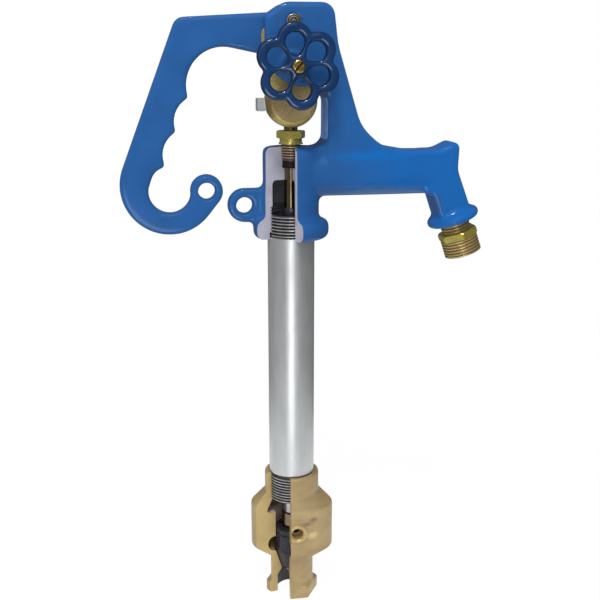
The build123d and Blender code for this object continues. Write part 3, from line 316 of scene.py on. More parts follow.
class Finish:
    """A material's node tree, built step by step from Object coordinates."""

    def __init__(self, name, roughness=0.5, metallic=0.0):
        self.material = bpy.data.materials.new(name)
        self.material.use_nodes = True
        self.tree = self.material.node_tree
        self.shader = self.tree.nodes["Principled BSDF"]
        self.shader.inputs["Roughness"].default_value = roughness
        self.shader.inputs["Metallic"].default_value = metallic
        self.place = self.tree.nodes.new("ShaderNodeTexCoord").outputs["Object"]
        self.bump = None

    def noise(self, scale, detail=2.0, stretch=(1, 1, 1)):
        mapping = self.tree.nodes.new("ShaderNodeMapping")
        mapping.inputs["Scale"].default_value = stretch
        self.tree.links.new(self.place, mapping.inputs["Vector"])
        noise = self.tree.nodes.new("ShaderNodeTexNoise")
        noise.inputs["Scale"].default_value = scale
        noise.inputs["Detail"].default_value = detail
        self.tree.links.new(mapping.outputs["Vector"], noise.inputs["Vector"])
        return noise.outputs["Fac"]

    def ramp(self, value, low, high, start, end):
        """Turns a 0 to 1 value into a colour or a number between two ends."""
        if start > end:
            low, high, start, end = high, low, end, start
        ramp = self.tree.nodes.new("ShaderNodeValToRGB")
        stops = ramp.color_ramp.elements
        for stop, position, colour in ((stops[0], start, low), (stops[1], end, high)):
            stop.position = position
            stop.color = colour if isinstance(colour, tuple) else (colour, colour, colour, 1)
        self.tree.links.new(value, ramp.inputs["Fac"])
        return ramp.outputs["Color"]

    def axis(self, name):
        """Place along X, Y or Z in metres, which serves as a ramp's value where it is positive."""
        split = self.tree.nodes.new("ShaderNodeSeparateXYZ")
        self.tree.links.new(self.place, split.inputs[0])
        return split.outputs[name]

    def distance_from(self, centre, stretch):
        """Distance from a point, 1 where it is as far as the stretch says."""
        mapping = self.tree.nodes.new("ShaderNodeMapping")
        mapping.inputs["Scale"].default_value = [1 / (MM * size) for size in stretch]
        mapping.inputs["Location"].default_value = [-c / size for c, size in zip(centre, stretch)]
        self.tree.links.new(self.place, mapping.inputs["Vector"])
        length = self.tree.nodes.new("ShaderNodeVectorMath")
        length.operation = "LENGTH"
        self.tree.links.new(mapping.outputs["Vector"], length.inputs[0])
        return length.outputs["Value"]

    def colour_from(self, value, low, high, start=0.35, end=0.65):
        base = self.shader.inputs["Base Color"]
        base.default_value = (*high, 1)
        self.tree.links.new(self.ramp(value, (*low, 1), (*high, 1), start, end), base)

    def mixed_over(self, value, other, start, end, share=1.0):
        """Lays a second base colour over the first as the value passes from start to end."""
        mix = self.tree.nodes.new("ShaderNodeMix")
        mix.data_type = "RGBA"
        base = self.shader.inputs["Base Color"]
        self.tree.links.new(self.ramp(value, 0.0, share, start, end), mix.inputs["Factor"])
        self.tree.links.new(base.links[0].from_socket, mix.inputs["A"])
        mix.inputs["B"].default_value = (*other, 1)
        self.tree.links.new(mix.outputs["Result"], base)

    def spotted(self, centre, stretch, other, share):
        """Lays a second base colour over the first in a soft, uneven spot."""
        unevenness = 0.8
        edge, heart = 1.4, 0.6
        uneven = self.tree.nodes.new("ShaderNodeMath")
        uneven.operation = "MULTIPLY_ADD"
        uneven.inputs[1].default_value = unevenness
        self.tree.links.new(self.noise(160, 3), uneven.inputs[0])
        self.tree.links.new(self.distance_from(centre, stretch), uneven.inputs[2])
        self.mixed_over(uneven.outputs[0], other, edge, heart, share)

    def roughness_from(self, value, low, high, start=0.3, end=0.7):
        self.tree.links.new(
            self.ramp(value, low, high, start, end), self.shader.inputs["Roughness"]
        )

    def bumped(self, value, strength, height):
        """Adds a relief of so many millimetres to those already there."""
        bump = self.tree.nodes.new("ShaderNodeBump")
        bump.inputs["Strength"].default_value = strength
        bump.inputs["Distance"].default_value = height * MM
        self.tree.links.new(value, bump.inputs["Height"])
        if self.bump:
            self.tree.links.new(self.bump, bump.inputs["Normal"])
        self.bump = bump.outputs["Normal"]
        self.tree.links.new(self.bump, self.shader.inputs["Normal"])

    def dulled(self, specular):
        self.shader.inputs["Specular IOR Level"].default_value = specular


def enamel(name, deep, bright, gloss, grain=0.1):
    """Enamel over cast iron, a little uneven in colour and gloss, with a sandy grain."""
    paint = Finish(name)
    paint.colour_from(paint.noise(35), deep, bright, 0.3, 0.7)
    paint.roughness_from(paint.noise(90), 0.36, 0.48)
    paint.dulled(0.06)
    paint.bumped(paint.noise(260), grain, 0.3)
    paint.bumped(paint.noise(1100), grain / 2, 0.1)
    paint.shader.inputs["Coat Weight"].default_value = gloss
    paint.shader.inputs["Coat Roughness"].default_value = 0.05
    return paint


BLUE_DEEP = (0.013, 0.075, 0.23)
BLUE_BRIGHT = (0.017, 0.09, 0.28)
SPOUT_BLUE = (0.007, 0.098, 0.335)

# The coat is purer towards the spout. Painted light brightens the arm's shoulder, and painted
# shade greys the blue under the arm and on the elbow.
blue_enamel = enamel("blue_enamel", BLUE_DEEP, BLUE_BRIGHT, 0.3)
blue_enamel.mixed_over(blue_enamel.axis("X"), SPOUT_BLUE, 30 * MM, 75 * MM)
for spot, reach, colour in (
    ((52, -13, 337), (50, 40, 8), (0.0, 0.125, 0.43)),
    ((62, -6, 312), (60, 40, 6), (0.055, 0.12, 0.23)),
    ((103, -9, 302), (11, 30, 17), (0.03, 0.065, 0.19)),
):
    blue_enamel.spotted(spot, reach, colour, 0.6)

# The barrel's top is dusty and dull, and a painted sheen makes the upright's inner face paler.
matt_enamel = enamel("matt_enamel", BLUE_DEEP, BLUE_BRIGHT, 0.0)

painted_sheen_enamel = Finish("painted_sheen_enamel")
painted_sheen_enamel.colour_from(painted_sheen_enamel.noise(120, 3), (0.12, 0.235, 0.56), (0.19, 0.32, 0.68))
painted_sheen_enamel.roughness_from(painted_sheen_enamel.noise(200), 0.68, 0.85)
painted_sheen_enamel.dulled(0.15)
painted_sheen_enamel.bumped(painted_sheen_enamel.noise(600, 3), 0.25, 0.2)

milled_iron = Finish("milled_iron", metallic=0.2)
milled_iron.colour_from(milled_iron.noise(60, 3), (0.37, 0.365, 0.45), (0.47, 0.465, 0.56))
milled_iron.roughness_from(milled_iron.noise(900, 2, (1, 1, 0.05)), 0.35, 0.55)
milled_iron.bumped(milled_iron.noise(1400, 2, (1, 1, 0.04)), 0.12, 0.08)

bare_chamber = Finish("bare_chamber", 0.6, 0.2)
bare_chamber.colour_from(bare_chamber.noise(90, 4), (0.12, 0.122, 0.132), (0.22, 0.223, 0.245))
bare_chamber.bumped(bare_chamber.noise(700, 3), 0.3, 0.2)

# How near a point is to count as on a face, and how far the bare insides reach from their axis.
ON_FACE = 0.04
UPRIGHT_FACE_X = (15, 27)
UPRIGHT_FACE_TOP = 395.0
CHAMBER_REACH = 17.45
GLAND_REACH = 7.7


def on_cut(centre, cut_x, turn, mouth_y, flare):
    """True for a point on one of the window's milled faces."""
    x, y, z = centre
    if abs(x - cut_x) < ON_FACE and -mouth_y - 0.1 < y < 1:
        return True
    if x < cut_x + 0.1 and abs(y * math.cos(turn) - x * math.sin(turn)) < ON_FACE:
        return True
    past_flare = (x - cut_x) * math.cos(flare) + (y + mouth_y) * math.sin(flare)
    return abs(past_flare) < ON_FACE and y < -mouth_y


def head_finish(centre, normal):
    """Milled faces first, then the painted sheen and the matt enamel, then the unpainted insides.
    """
    x, y, z = centre
    radius = math.hypot(x, y)
    if FLANGE_BOTTOM - 1 < z < BARREL_TOP + 1 and y < 1:
        if on_cut(centre, WINDOW_X, WINDOW_TURN, WINDOW_MOUTH_Y, WINDOW_FLARE):
            return milled_iron
        if abs(x - GLAND_CUT_X) < ON_FACE and GLAND_CUT_Y - 0.1 < y < 0 and z > GLAND_BOTTOM:
            return milled_iron
    # The upright's inner face gets the painted sheen.
    if BARREL_TOP + 2 < z < UPRIGHT_FACE_TOP and normal.x < -0.93:
        if UPRIGHT_FACE_X[0] < x < UPRIGHT_FACE_X[1]:
            return painted_sheen_enamel
    if BARREL_TOP - 3 < z < BARREL_TOP + 9 and x < 30 and normal.z > 0.35:
        return matt_enamel
    if FLANGE_BOTTOM + 0.1 < z < GLAND_BOTTOM + 1.3 and radius < CHAMBER_REACH:
        return bare_chamber
    if GLAND_BOTTOM - 0.7 < z < BARREL_TOP - 0.1 and radius < GLAND_REACH:
        return bare_chamber
    if WATERWAY_START_X < x < WATERWAY_END_X + 1:
        if math.hypot(y, z - WATERWAY_Z) < WATERWAY_RADIUS + 0.1:
            return bare_chamber
    return blue_enamel


def dress(piece, finishes, choose=None):
    """Gives each face the finish chosen by its centre and normal, or all faces the first one."""
    piece.data.materials.clear()
    for finish in finishes:
        piece.data.materials.append(finish.material)
    for face in piece.data.polygons:
        chosen = choose(face.center / MM, face.normal) if choose else finishes[0]
        face.material_index = finishes.index(chosen)


def shade(piece, sharp_deg=40):
    piece.data.shade_smooth()
    piece.data.set_sharp_from_angle(angle=math.radians(sharp_deg))


dress(
    head_piece, [blue_enamel, milled_iron, bare_chamber, painted_sheen_enamel, matt_enamel], head_finish
)
shade(head_piece)
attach(head_piece, "base")
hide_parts("head_casting")


# Standpipe: welded one inch steel pipe, hot dip galvanized, with a taper thread cut on each end
# through the zinc. It screws into the head above and into the foot valve below.

PIPE_BOTTOM = 79.6
LOWER_TURNS = 10
UPPER_TURNS = 7
LOWER_CREST_FROM = 16.35
UPPER_CREST_FROM = 15.75
PIPE_BORE_TO = 15.0

galvanized = Finish("galvanized", metallic=0.8)
galvanized.colour_from(
    galvanized.noise(160, 3, (1, 1, 0.25)), (0.59, 0.61, 0.61), (0.65, 0.67, 0.68)
)
galvanized.roughness_from(galvanized.noise(300, 2, (1, 1, 0.15)), 0.36, 0.43)
galvanized.bumped(galvanized.noise(900, 2, (1, 1, 0.3)), 0.05, 0.06)

thread_root = Finish("thread_root", 0.5, 0.6)
thread_root.colour_from(thread_root.noise(300), (0.045, 0.045, 0.047), (0.1, 0.1, 0.102))
thread_crest = Finish("thread_crest", 0.36, 0.6)
thread_crest.colour_from(thread_crest.noise(200), (0.3, 0.3, 0.3), (0.5, 0.5, 0.5))


def pipe_finish(centre, normal):
    x, y, z = centre
    radius = math.hypot(x, y)
    if z < PIPE_BOTTOM + LOWER_TURNS * PIPE_PITCH - 0.1:
        return thread_crest if radius > LOWER_CREST_FROM else thread_root
    if z > PIPE_TOP - UPPER_TURNS * PIPE_PITCH - 0.1:
        return thread_crest if radius > UPPER_CREST_FROM else thread_root
    return thread_root if radius < PIPE_BORE_TO else galvanized


dress(nodes["standpipe"], [galvanized, thread_root, thread_crest], pipe_finish)


# Foot valve body: cast brass, with its thread, seat and drain hole machined, and an inlet hexagon
# for the spanner. The front left quarter is milled away to show the seat and the plunger.

BODY_SECTIONS = [
    (0, 16.2, 16.2), (31, 16.2, 16.2), (40, 31, 21.5), (75, 31, 21.5),
    (85.5, 20.3, 20.3), (101, 20.3, 20.3),
]
BODY_TURN = math.radians(-9)
BODY_BELOW = -2.0
BODY_ABOVE = 103.0
HEX_ACROSS_FLATS = 35.0
HEX_TOP = 9.5

INLET_RADIUS = 11.8
INLET_DEPTH = 14.0
SEAT_RADIUS = 8.6
SEAT_BOTTOM = 18.7
SEAT_TOP = 20.3
BORE_RADIUS = 13.2
BORE_BOTTOM = 35.2
BORE_TOP = 67.4
RING_GROOVE_Z = 41.2
RING_GROOVE_RADIUS = 6.3
UPPER_GROOVE = [(18.5, 67.4), (20, 68.9), (19.4, 71.4), (15.5, PIPE_BOTTOM)]
VALVE_CREST = 16.65
VALVE_ROOT = 15.4
VALVE_MOUTH_RADIUS = 16.9

DRAIN_X = 1.3
DRAIN_Z = 57.5
DRAIN_FRONT = -22.7
DRAIN_DEPTH = 8.0
DRAIN_RADIUS = 4.3
PASSAGE_RADIUS = 2.8
MOUTH_RADIUS = 5.6
MOUTH_FOOT_RADIUS = 4.2
BOSS_RADIUS = 7.2
BOSS_ROUND = 0.7

VALVE_CUT_X = -3.5
VALVE_CUT_TURN = math.radians(13)
VALVE_CUT_MOUTH_Y = 30.0


def stacked(sections, turn, segments=96):
    """Closed body through level ellipses, each given as height, half length and half width."""
    bm = bmesh.new()
    rings = []
    for z, half_x, half_y in sections:
        place = (
            Matrix.Translation((0, 0, z * MM)) @ Matrix.Rotation(turn, 4, "Z")
            @ Matrix.Diagonal((half_x * MM, half_y * MM, 1, 1))
        )
        made = bmesh.ops.create_circle(bm, segments=segments, radius=1, matrix=place)
        rings.append(set(made["verts"]))
    for low, high in zip(rings, rings[1:]):
        edges = [e for e in bm.edges if set(e.verts) <= low or set(e.verts) <= high]
        bmesh.ops.bridge_loops(bm, edges=edges)
    bmesh.ops.holes_fill(bm, edges=[e for e in bm.edges if e.is_boundary])
    bmesh.ops.recalc_face_normals(bm, faces=bm.faces)
    return bm


def drain_rod(front, back, radius, back_radius=None):
    """Round tool on the drain's axis, from one Y to another."""
    return rod_between(
        (DRAIN_X, front, DRAIN_Z), (DRAIN_X, back, DRAIN_Z), radius, back_radius
    )


corner = HEX_ACROSS_FLATS / math.sqrt(3)
hexagon = [
    (corner * math.cos(i * math.pi / 3), corner * math.sin(i * math.pi / 3)) for i in range(6)
]
valve_piece = as_object(
    join(stacked(BODY_SECTIONS, BODY_TURN), prism(hexagon, 0, HEX_TOP)), "valve_body_skin"
)
cast_skin(valve_piece, voxel=0.7, passes=6, fillet=1.2)

boss = drain_rod(DRAIN_FRONT, -17, BOSS_RADIUS)
boss_rim = [e for e in boss.edges if max(v.co.y for v in e.verts) < (DRAIN_FRONT + 0.1) * MM]
round_over(boss, boss_rim, BOSS_ROUND, 3)
cut_out(valve_piece, boss, operation="UNION")

valve_cavity = turned(
    [(0, BODY_BELOW), (INLET_RADIUS, BODY_BELOW), (INLET_RADIUS, INLET_DEPTH)]
    + [(SEAT_RADIUS, SEAT_BOTTOM), (SEAT_RADIUS, SEAT_TOP), (BORE_RADIUS, BORE_BOTTOM)]
    + quarter(BORE_RADIUS, RING_GROOVE_Z, RING_GROOVE_RADIUS, -88, 88, 10)
    + [(BORE_RADIUS, 47.2), (BORE_RADIUS, BORE_TOP)]
    + UPPER_GROOVE
    + ridges(VALVE_CREST, VALVE_ROOT, PIPE_BOTTOM, LOWER_TURNS, PIPE_PITCH)
    + [(VALVE_MOUTH_RADIUS, BODY_ABOVE), (0, BODY_ABOVE)]
)
drain_hole = drain_rod(-24, DRAIN_FRONT + DRAIN_DEPTH, DRAIN_RADIUS)
drain_passage = drain_rod(-16, -8, PASSAGE_RADIUS)
drain_mouth = drain_rod(DRAIN_FRONT - 0.3, DRAIN_FRONT + 1.1, MOUTH_RADIUS, MOUTH_FOOT_RADIUS)
valve_window = window_tool(
    VALVE_CUT_X, VALVE_CUT_TURN, VALVE_CUT_MOUTH_Y, 0, BODY_BELOW, BODY_ABOVE
)
cut_out(valve_piece, valve_cavity, drain_hole, drain_passage, drain_mouth, valve_window)


def brass(name, deep, bright, roughness, grain, shine):
    """Brass that has dulled a little: darker in patches, with a grain in its surface."""
    metal = Finish(name, metallic=shine)
    metal.colour_from(metal.noise(45, 3), deep, bright, 0.3, 0.7)
    metal.roughness_from(metal.noise(220), roughness - 0.05, roughness + 0.06)
    if grain > 0:
        metal.bumped(metal.noise(700), grain, 0.2)
    return metal


STAIN = (0.13, 0.075, 0.045)
PAINTED_GLINT = (0.72, 0.56, 0.27)

# Two brown stains run up from the drain's boss, and a painted highlight shines on its right.
cast_brass = brass("cast_brass", (0.32, 0.225, 0.105), (0.44, 0.335, 0.165), 0.48, 0.12, 0.35)
cast_brass.mixed_over(cast_brass.noise(70, 3, (1, 1, 4)), (0.27, 0.17, 0.095), 0.5, 0.9, 0.6)
cast_brass.spotted((8.0, -21.0, 65.0), (10, 12, 4.5), STAIN, 0.55)
cast_brass.spotted((13.5, -19.5, 68.0), (8, 12, 4.0), STAIN, 0.55)
cast_brass.spotted((12.5, -19.5, 55.5), (10, 12, 6), PAINTED_GLINT, 0.6)

milled_brass = brass("milled_brass", (0.45, 0.33, 0.14), (0.56, 0.42, 0.19), 0.42, 0.05, 0.4)

stained_brass = Finish("stained_brass", 0.5, 0.2)
stained_brass.colour_from(stained_brass.noise(110, 4), (0.4, 0.31, 0.31), (0.7, 0.55, 0.52))
stained_brass.bumped(stained_brass.noise(700, 3), 0.2, 0.2)

# Painted shade: the bore below the plunger is painted nearly black, as deep shade.
shaded_bore = Finish("shaded_bore", 0.45, 0.3)
shaded_bore.colour_from(shaded_bore.noise(130, 3), (0.024, 0.021, 0.024), (0.06, 0.053, 0.055))
shaded_bore.bumped(shaded_bore.noise(700), 0.15, 0.15)


def valve_finish(centre, normal):
    """Milled window and boss first, then the bore below the plunger in painted shade, and the
    stained one.
    """
    x, y, z = centre
    radius = math.hypot(x, y)
    if y < 1 and on_cut(centre, VALVE_CUT_X, VALVE_CUT_TURN, VALVE_CUT_MOUTH_Y, 0):
        return milled_brass
    if y < -14 and math.hypot(x - DRAIN_X, z - DRAIN_Z) < BOSS_RADIUS + 0.1:
        return milled_brass
    if 0.1 < z < 38 and radius < BORE_RADIUS + 0.2:
        return shaded_bore
    if 38 <= z < 79 and radius < 20.1 and normal.y > -0.9:
        return stained_brass
    if 79 <= z < 100.9 and radius < 17:
        return stained_brass
    return cast_brass


dress(valve_piece, [cast_brass, milled_brass, stained_brass, shaded_bore], valve_finish)
shade(valve_piece)
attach(valve_piece, "base")
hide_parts("valve_body")


# Plunger and rod: a black moulded bullet on a stud under a brass coupling, which closes on the
# seat. The grey steel rod screws into the coupling and runs up the pipe to the polished stem.

ROD_SHADE_FROM = 286.0
ROD_SHADE_TO = 292.0

rubber = Finish("black_rubber")
rubber.colour_from(rubber.noise(120), (0.012, 0.011, 0.016), (0.026, 0.025, 0.033))
rubber.roughness_from(rubber.noise(300), 0.14, 0.22)
rubber.dulled(0.3)
rubber.bumped(rubber.noise(800), 0.04, 0.06)
for name in ("plunger", "plunger_guide"):
    dress(nodes[name], [rubber])

turned_brass = brass("turned_brass", (0.19, 0.15, 0.09), (0.27, 0.215, 0.14), 0.17, 0, 1.0)
for name in ("plunger_stem", "stem"):
    dress(nodes[name], [turned_brass])

rod_steel = Finish("rod_steel", metallic=0.85)
rod_steel.colour_from(rod_steel.noise(300), (0.46, 0.46, 0.49), (0.55, 0.55, 0.58))
rod_steel.roughness_from(rod_steel.noise(500, 2, (1, 1, 0.05)), 0.26, 0.36)
# Painted shade: the rod's top, inside the dark chamber, is painted dark.
rod_steel.mixed_over(
    rod_steel.axis("Z"), (0.1, 0.1, 0.11), ROD_SHADE_FROM * MM, ROD_SHADE_TO * MM
)
dress(nodes["operating_rod"], [rod_steel])


# Gland: a nut turned from brass hexagon bar, which screws down on a thin follower and squeezes
# black graphite packing round the stem. The cut shows its thread, dark brown in the roots and
# lighter on the crests.

NUT_SHOULDER_Z = BARREL_TOP + 1.7
NUT_CREST_FROM = 7.25

nut_brass = brass("nut_brass", (0.45, 0.385, 0.085), (0.6, 0.52, 0.125), 0.3, 0, 0.75)
browned_brass = brass("browned_brass", (0.1, 0.065, 0.045), (0.16, 0.11, 0.075), 0.4, 0, 0.6)
gland_crest_brass = brass("gland_crest_brass", (0.4, 0.33, 0.24), (0.52, 0.43, 0.32), 0.35, 0, 0.6)


def nut_finish(centre, normal):
    x, y, z = centre
    if z > NUT_SHOULDER_Z:
        return nut_brass
    return gland_crest_brass if math.hypot(x, y) > NUT_CREST_FROM else browned_brass


dress(nodes["packing_nut"], [nut_brass, browned_brass, gland_crest_brass], nut_finish)
dress(nodes["gland_follower"], [browned_brass])

packing = Finish("graphite_packing", 0.6)
packing.colour_from(packing.noise(400, 3), (0.006, 0.004, 0.005), (0.018, 0.012, 0.013))
packing.dulled(0.2)
packing.bumped(packing.noise(1200), 0.2, 0.1)
dress(nodes["packing_ring"], [packing])


# Hose nozzle: turned from brass hexagon bar, with a taper thread up into the outlet and a coarse
# hose thread below, which is darker in its roots than on its crests.

NOZZLE_END = Vector((127.29, 0, 265.77))
NOZZLE_THREAD = 12.2
NOZZLE_NECK = 17.2
HOSE_CREST_FROM = 13.2
NECK_CREST_FROM = 10.3

nozzle_root = brass("nozzle_root", (0.24, 0.15, 0.055), (0.36, 0.24, 0.095), 0.42, 0, 0.6)
nozzle_crest = brass("nozzle_crest", (0.4, 0.3, 0.125), (0.54, 0.42, 0.19), 0.42, 0, 0.65)


def nozzle_finish(centre, normal):
    """Threads go by the distance from the outlet's tilted axis, the hexagon by its place on it."""
    up = (NOZZLE_END - centre).dot(OUTLET_DOWN)
    radius = (centre - NOZZLE_END + OUTLET_DOWN * up).length
    if up < NOZZLE_THREAD:
        return nozzle_crest if radius > HOSE_CREST_FROM else nozzle_root
    if up > NOZZLE_NECK:
        return nozzle_crest if radius > NECK_CREST_FROM else nozzle_root
    return nut_brass


dress(nodes["hose_nozzle"], [nut_brass, nozzle_root, nozzle_crest], nozzle_finish)


# Rod connector: a thick round brass casting whose fork takes the lever's drive pin. Its flat face
# keeps the speckle of the sand, and its rim is machined and a little yellower.

CONNECTOR_Z = 374.0
CONNECTOR_FACE_RADIUS = 14.3
FORK_BOTTOM = 395.0
ANY_DEPTH = 1e6

sand_brass = brass("sand_brass", (0.26, 0.19, 0.08), (0.4, 0.31, 0.13), 0.46, 0.25, 0.5)
sand_brass.mixed_over(sand_brass.noise(1500), (0.16, 0.1, 0.05), 0.5, 0.7)
# Painted light: the face is painted lighter towards the right.
sand_brass.mixed_over(sand_brass.axis("X"), (0.42, 0.33, 0.15), 0.0, 12 * MM)
sand_brass.bumped(sand_brass.noise(2200), 0.25, 0.12)
rim_brass = brass("rim_brass", (0.4, 0.32, 0.11), (0.56, 0.46, 0.17), 0.4, 0.12, 0.5)
rim_brass.mixed_over(rim_brass.noise(1500), (0.2, 0.13, 0.05), 0.5, 0.72)
# Painted shade: the rim is painted darker brown on the left.
rim_brass.spotted((-18, 0, 372), (16, ANY_DEPTH, 20), (0.17, 0.105, 0.04), 0.75)


def connector_finish(centre, normal):
    x, y, z = centre
    on_rim = math.hypot(x, z - CONNECTOR_Z) > CONNECTOR_FACE_RADIUS
    return rim_brass if z > FORK_BOTTOM or on_rim else sand_brass


dress(nodes["rod_connector"], [sand_brass, rim_brass], connector_finish)


# Lever: an iron casting enamelled like the head, with finger grips, a hook for a pail and an eye
# for the padlock. It turns on the fulcrum pin between the cheeks.

lever_piece = as_object(merged_copy("lever"), "lever_skin")
cast_skin(lever_piece, voxel=0.8, passes=5)
dress(lever_piece, [blue_enamel])
shade(lever_piece)
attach(lever_piece, "lever_arm")
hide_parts("lever")


# Pins, washers and screw: zinc plated steel, except for two brass washers beside the lever's root
# and the fulcrum pin, which is bronze with the lathe's rings on its domed head.

FULCRUM_Z = 425.6
RING_STEP = 0.95

zinc = Finish("zinc_plate", metallic=0.85)
zinc.colour_from(zinc.noise(90, 3), (0.5, 0.51, 0.51), (0.6, 0.61, 0.61))
zinc.roughness_from(zinc.noise(260), 0.32, 0.44)
zinc.bumped(zinc.noise(900), 0.04, 0.08)
for name in ("set_screw", "drive_pin", "fulcrum_clip", "wheel_spindle"):
    dress(nodes[name], [zinc])
for name in ("thrust_washer_front", "thrust_washer_back"):
    dress(nodes[name], [turned_brass])

pin_bronze = Finish("pin_bronze", 0.3, 0.9)
lathe_rings = pin_bronze.tree.nodes.new("ShaderNodeMath")
lathe_rings.operation = "PINGPONG"
lathe_rings.inputs[1].default_value = 1.0
from_axis = pin_bronze.distance_from((0, 0, FULCRUM_Z), (RING_STEP, ANY_DEPTH, RING_STEP))
pin_bronze.tree.links.new(from_axis, lathe_rings.inputs[0])
pin_bronze.colour_from(lathe_rings.outputs[0], (0.11, 0.085, 0.07), (0.5, 0.42, 0.36), 0.2, 0.9)
pin_bronze.bumped(lathe_rings.outputs[0], 0.6, 0.25)
dress(nodes["fulcrum_pin"], [pin_bronze])


# Flow wheel: an iron casting with six petals, dipped in a darker enamel, with painted shade that
# darkens each face as it turns away from the front. A slotted brass screw holds it on its spindle.

WHEEL_Z = 397.1
SCREW_FACE_Y = -39.3
SLOT_HALF_LENGTH = 4.0

navy_enamel = enamel("navy_enamel", (0.003, 0.022, 0.075), (0.005, 0.032, 0.11), 0.75, 0.04)
# Painted shade: the navy is painted darker on faces that turn away from the front.
painted_side_shade = navy_enamel.tree.nodes.new("ShaderNodeAttribute")
painted_side_shade.attribute_name = "painted_side_shade"
navy_enamel.mixed_over(painted_side_shade.outputs["Fac"], (0.003, 0.01, 0.03), 0.1, 0.7)

wheel_piece = as_object(merged_copy("flow_wheel"), "flow_wheel_skin")
cast_skin(wheel_piece, voxel=0.45, passes=110)
side_shade_amounts = [1 - abs(vert.normal.y) for vert in wheel_piece.data.vertices]
wheel_piece.data.attributes.new("painted_side_shade", "FLOAT", "POINT").data.foreach_set("value", side_shade_amounts)
dress(wheel_piece, [navy_enamel])
shade(wheel_piece, 60)
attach(wheel_piece, "wheel")
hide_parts("flow_wheel")

screw_brass = brass("screw_brass", (0.24, 0.15, 0.035), (0.45, 0.31, 0.09), 0.26, 0.02, 0.95)
screw_brass.mixed_over(screw_brass.noise(500), (0.85, 0.68, 0.32), 0.55, 0.68)
# Painted shade: the slot is painted nearly black.
slot_shade = Finish("slot_shade", 0.7)
slot_shade.colour_from(slot_shade.noise(500), (0.012, 0.009, 0.008), (0.035, 0.026, 0.018))


def screw_finish(centre, normal):
    """Painted shade darkens the slot's walls and floor, and the rest of the head is bright."""
    x, y, z = centre
    depth = y - SCREW_FACE_Y
    if not 0.25 < depth < 1.2 or math.hypot(x, z - WHEEL_Z) >= SLOT_HALF_LENGTH:
        return screw_brass
    return slot_shade if abs(normal.y) < 0.3 or depth > 1.0 else screw_brass


dress(nodes["wheel_screw"], [screw_brass, slot_shade], screw_finish)


# Studio: a pale floor and a white backdrop in a room that is grey on the left and dark on the
# right, with a bright card low in front that metal and gloss mirror. A broad soft light stands
# above the camera, and a small hard one overhead gives the highlights.

FLOOR_RADIUS = 0.36
SHADOW_SHARE = 0.04
ROOM_LEFT = 0.2
ROOM_RIGHT = 0.05
ROOM_BEHIND = 0.15
CARD_TOWARDS = (-0.13, -0.936, -0.326)
CARD_EDGE = (0.974, 0.99)
CARD_BRIGHTNESS = 5.6
FILL_TOWARDS = (0.05, -0.81, 0.58)
FILL_AWAY = 0.6
FILL_FULL = 1.0
CAMERA_PLACE = (-0.0944, -0.6369, 0.3997)
CAMERA_LOOK = Vector((0.15145, 0.95623, -0.25038))
CAMERA_LENS = 55.2
CAMERA_SENSOR = 36


def either(tree, first, second):
    """Larger of two sockets."""
    largest = tree.nodes.new("ShaderNodeMath")
    largest.operation = "MAXIMUM"
    tree.links.new(first, largest.inputs[0])
    tree.links.new(second, largest.inputs[1])
    return largest.outputs[0]


def mirrored(tree, path):
    """1 for a ray that a shiny or clear surface has sent on."""
    return either(tree, path.outputs["Is Glossy Ray"], path.outputs["Is Transmission Ray"])


def choose_shader(tree, when, otherwise, shader):
    """The second shader where the socket is 1, and the first elsewhere."""
    mix = tree.nodes.new("ShaderNodeMixShader")
    tree.links.new(when, mix.inputs[0])
    tree.links.new(otherwise, mix.inputs[1])
    tree.links.new(shader, mix.inputs[2])
    return mix.outputs[0]


floor_bm = bmesh.new()
bmesh.ops.create_circle(floor_bm, cap_ends=True, segments=96, radius=FLOOR_RADIUS)
floor = as_object(floor_bm, "floor")
floor_material = bpy.data.materials.new("pale_floor")
floor_material.use_nodes = True
floor_tree = floor_material.node_tree
floor_shader = floor_tree.nodes["Principled BSDF"]
floor_shader.inputs["Base Color"].default_value = (0.95, 0.95, 0.95, 1)
floor_shader.inputs["Roughness"].default_value = 0.9
floor_shader.inputs["Specular IOR Level"].default_value = 0.0
floor_path = floor_tree.nodes.new("ShaderNodeLightPath")
seen = either(
    floor_tree, floor_path.outputs["Is Camera Ray"], mirrored(floor_tree, floor_path)
)
white = floor_tree.nodes.new("ShaderNodeEmission")
lit_floor = choose_shader(floor_tree, seen, floor_shader.outputs[0], white.outputs[0])
shadowed_floor = floor_tree.nodes.new("ShaderNodeMixShader")
shadowed_floor.inputs[0].default_value = SHADOW_SHARE
floor_tree.links.new(lit_floor, shadowed_floor.inputs[1])
floor_tree.links.new(floor_shader.outputs[0], shadowed_floor.inputs[2])
floor_tree.links.new(
    shadowed_floor.outputs[0], floor_tree.nodes["Material Output"].inputs["Surface"]
)
floor.data.materials.append(floor_material)

world = bpy.data.worlds.new("studio")
bpy.context.scene.world = world
world.use_nodes = True
sky = world.node_tree
sky.nodes.clear()
direction = sky.nodes.new("ShaderNodeTexCoord").outputs["Generated"]
axes = sky.nodes.new("ShaderNodeSeparateXYZ")
sky.links.new(direction, axes.inputs[0])


def graded(value, start, end, low=0.0, high=1.0, soft=False):
    """Turns a value between start and end into one between low and high."""
    grade = sky.nodes.new("ShaderNodeMapRange")
    grade.interpolation_type = "SMOOTHSTEP" if soft else "LINEAR"
    for socket, number in (
        ("From Min", start), ("From Max", end), ("To Min", low), ("To Max", high),
    ):
        grade.inputs[socket].default_value = number
    sky.links.new(value, grade.inputs["Value"])
    return grade.outputs[0]


def facing(towards):
    """1 where the world is looked at along this direction, and -1 behind."""
    dot = sky.nodes.new("ShaderNodeVectorMath")
    dot.operation = "DOT_PRODUCT"
    dot.inputs[1].default_value = towards
    sky.links.new(direction, dot.inputs[0])
    return dot.outputs["Value"]


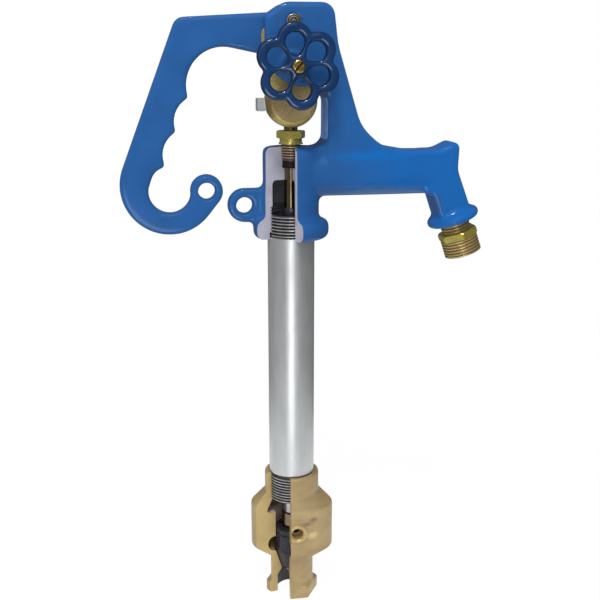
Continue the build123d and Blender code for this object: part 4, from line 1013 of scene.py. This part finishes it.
def changed_to(value, number, share):
    """Passes from a value to a fixed number as the share goes from 0 to 1."""
    mix = sky.nodes.new("ShaderNodeMix")
    mix.data_type = "FLOAT"
    mix.inputs[3].default_value = number
    sky.links.new(share, mix.inputs[0])
    sky.links.new(value, mix.inputs[2])
    return mix.outputs[0]


def white_light(strength=None):
    background = sky.nodes.new("ShaderNodeBackground")
    background.inputs["Color"].default_value = (1, 1, 1, 1)
    if strength:
        sky.links.new(strength, background.inputs["Strength"])
    return background.outputs[0]


across = graded(axes.outputs["X"], -0.7, 0.8, ROOM_LEFT, ROOM_RIGHT)
room = changed_to(across, ROOM_BEHIND, graded(axes.outputs["Y"], 0.86, 0.98, soft=True))
room = changed_to(room, CARD_BRIGHTNESS, graded(facing(CARD_TOWARDS), *CARD_EDGE, soft=True))
fill = graded(facing(FILL_TOWARDS), -1.0, 1.0, FILL_AWAY, FILL_FULL)
sky_path = sky.nodes.new("ShaderNodeLightPath")
unseen = choose_shader(sky, mirrored(sky, sky_path), white_light(fill), white_light(room))
whole = choose_shader(sky, sky_path.outputs["Is Camera Ray"], unseen, white_light())
world_output = sky.nodes.new("ShaderNodeOutputWorld")
sky.links.new(whole, world_output.inputs["Surface"])


def soft_light(name, place, target, width, height, power):
    light = bpy.data.lights.new(name, "AREA")
    light.shape = "RECTANGLE"
    light.size = width
    light.size_y = height
    light.energy = power
    lamp = bpy.data.objects.new(name, light)
    bpy.context.scene.collection.objects.link(lamp)
    lamp.location = place
    lamp.rotation_euler = (Vector(target) - Vector(place)).to_track_quat("-Z", "Y").to_euler()


soft_light("broad_light", (-0.25, -1.4, 1.15), (0, 0, 0.25), 1.2, 0.8, 3.0)
soft_light("hard_light", (-0.2, -0.75, 1.5), (0, 0, 0.3), 0.28, 0.12, 11)

camera_data = bpy.data.cameras.new("camera")
camera_data.lens = CAMERA_LENS
camera_data.sensor_width = CAMERA_SENSOR
camera = bpy.data.objects.new("camera", camera_data)
bpy.context.scene.collection.objects.link(camera)
camera.location = CAMERA_PLACE
camera.rotation_euler = CAMERA_LOOK.to_track_quat("-Z", "Y").to_euler()
bpy.context.scene.camera = camera
bpy.context.scene.view_settings.view_transform = "Standard"
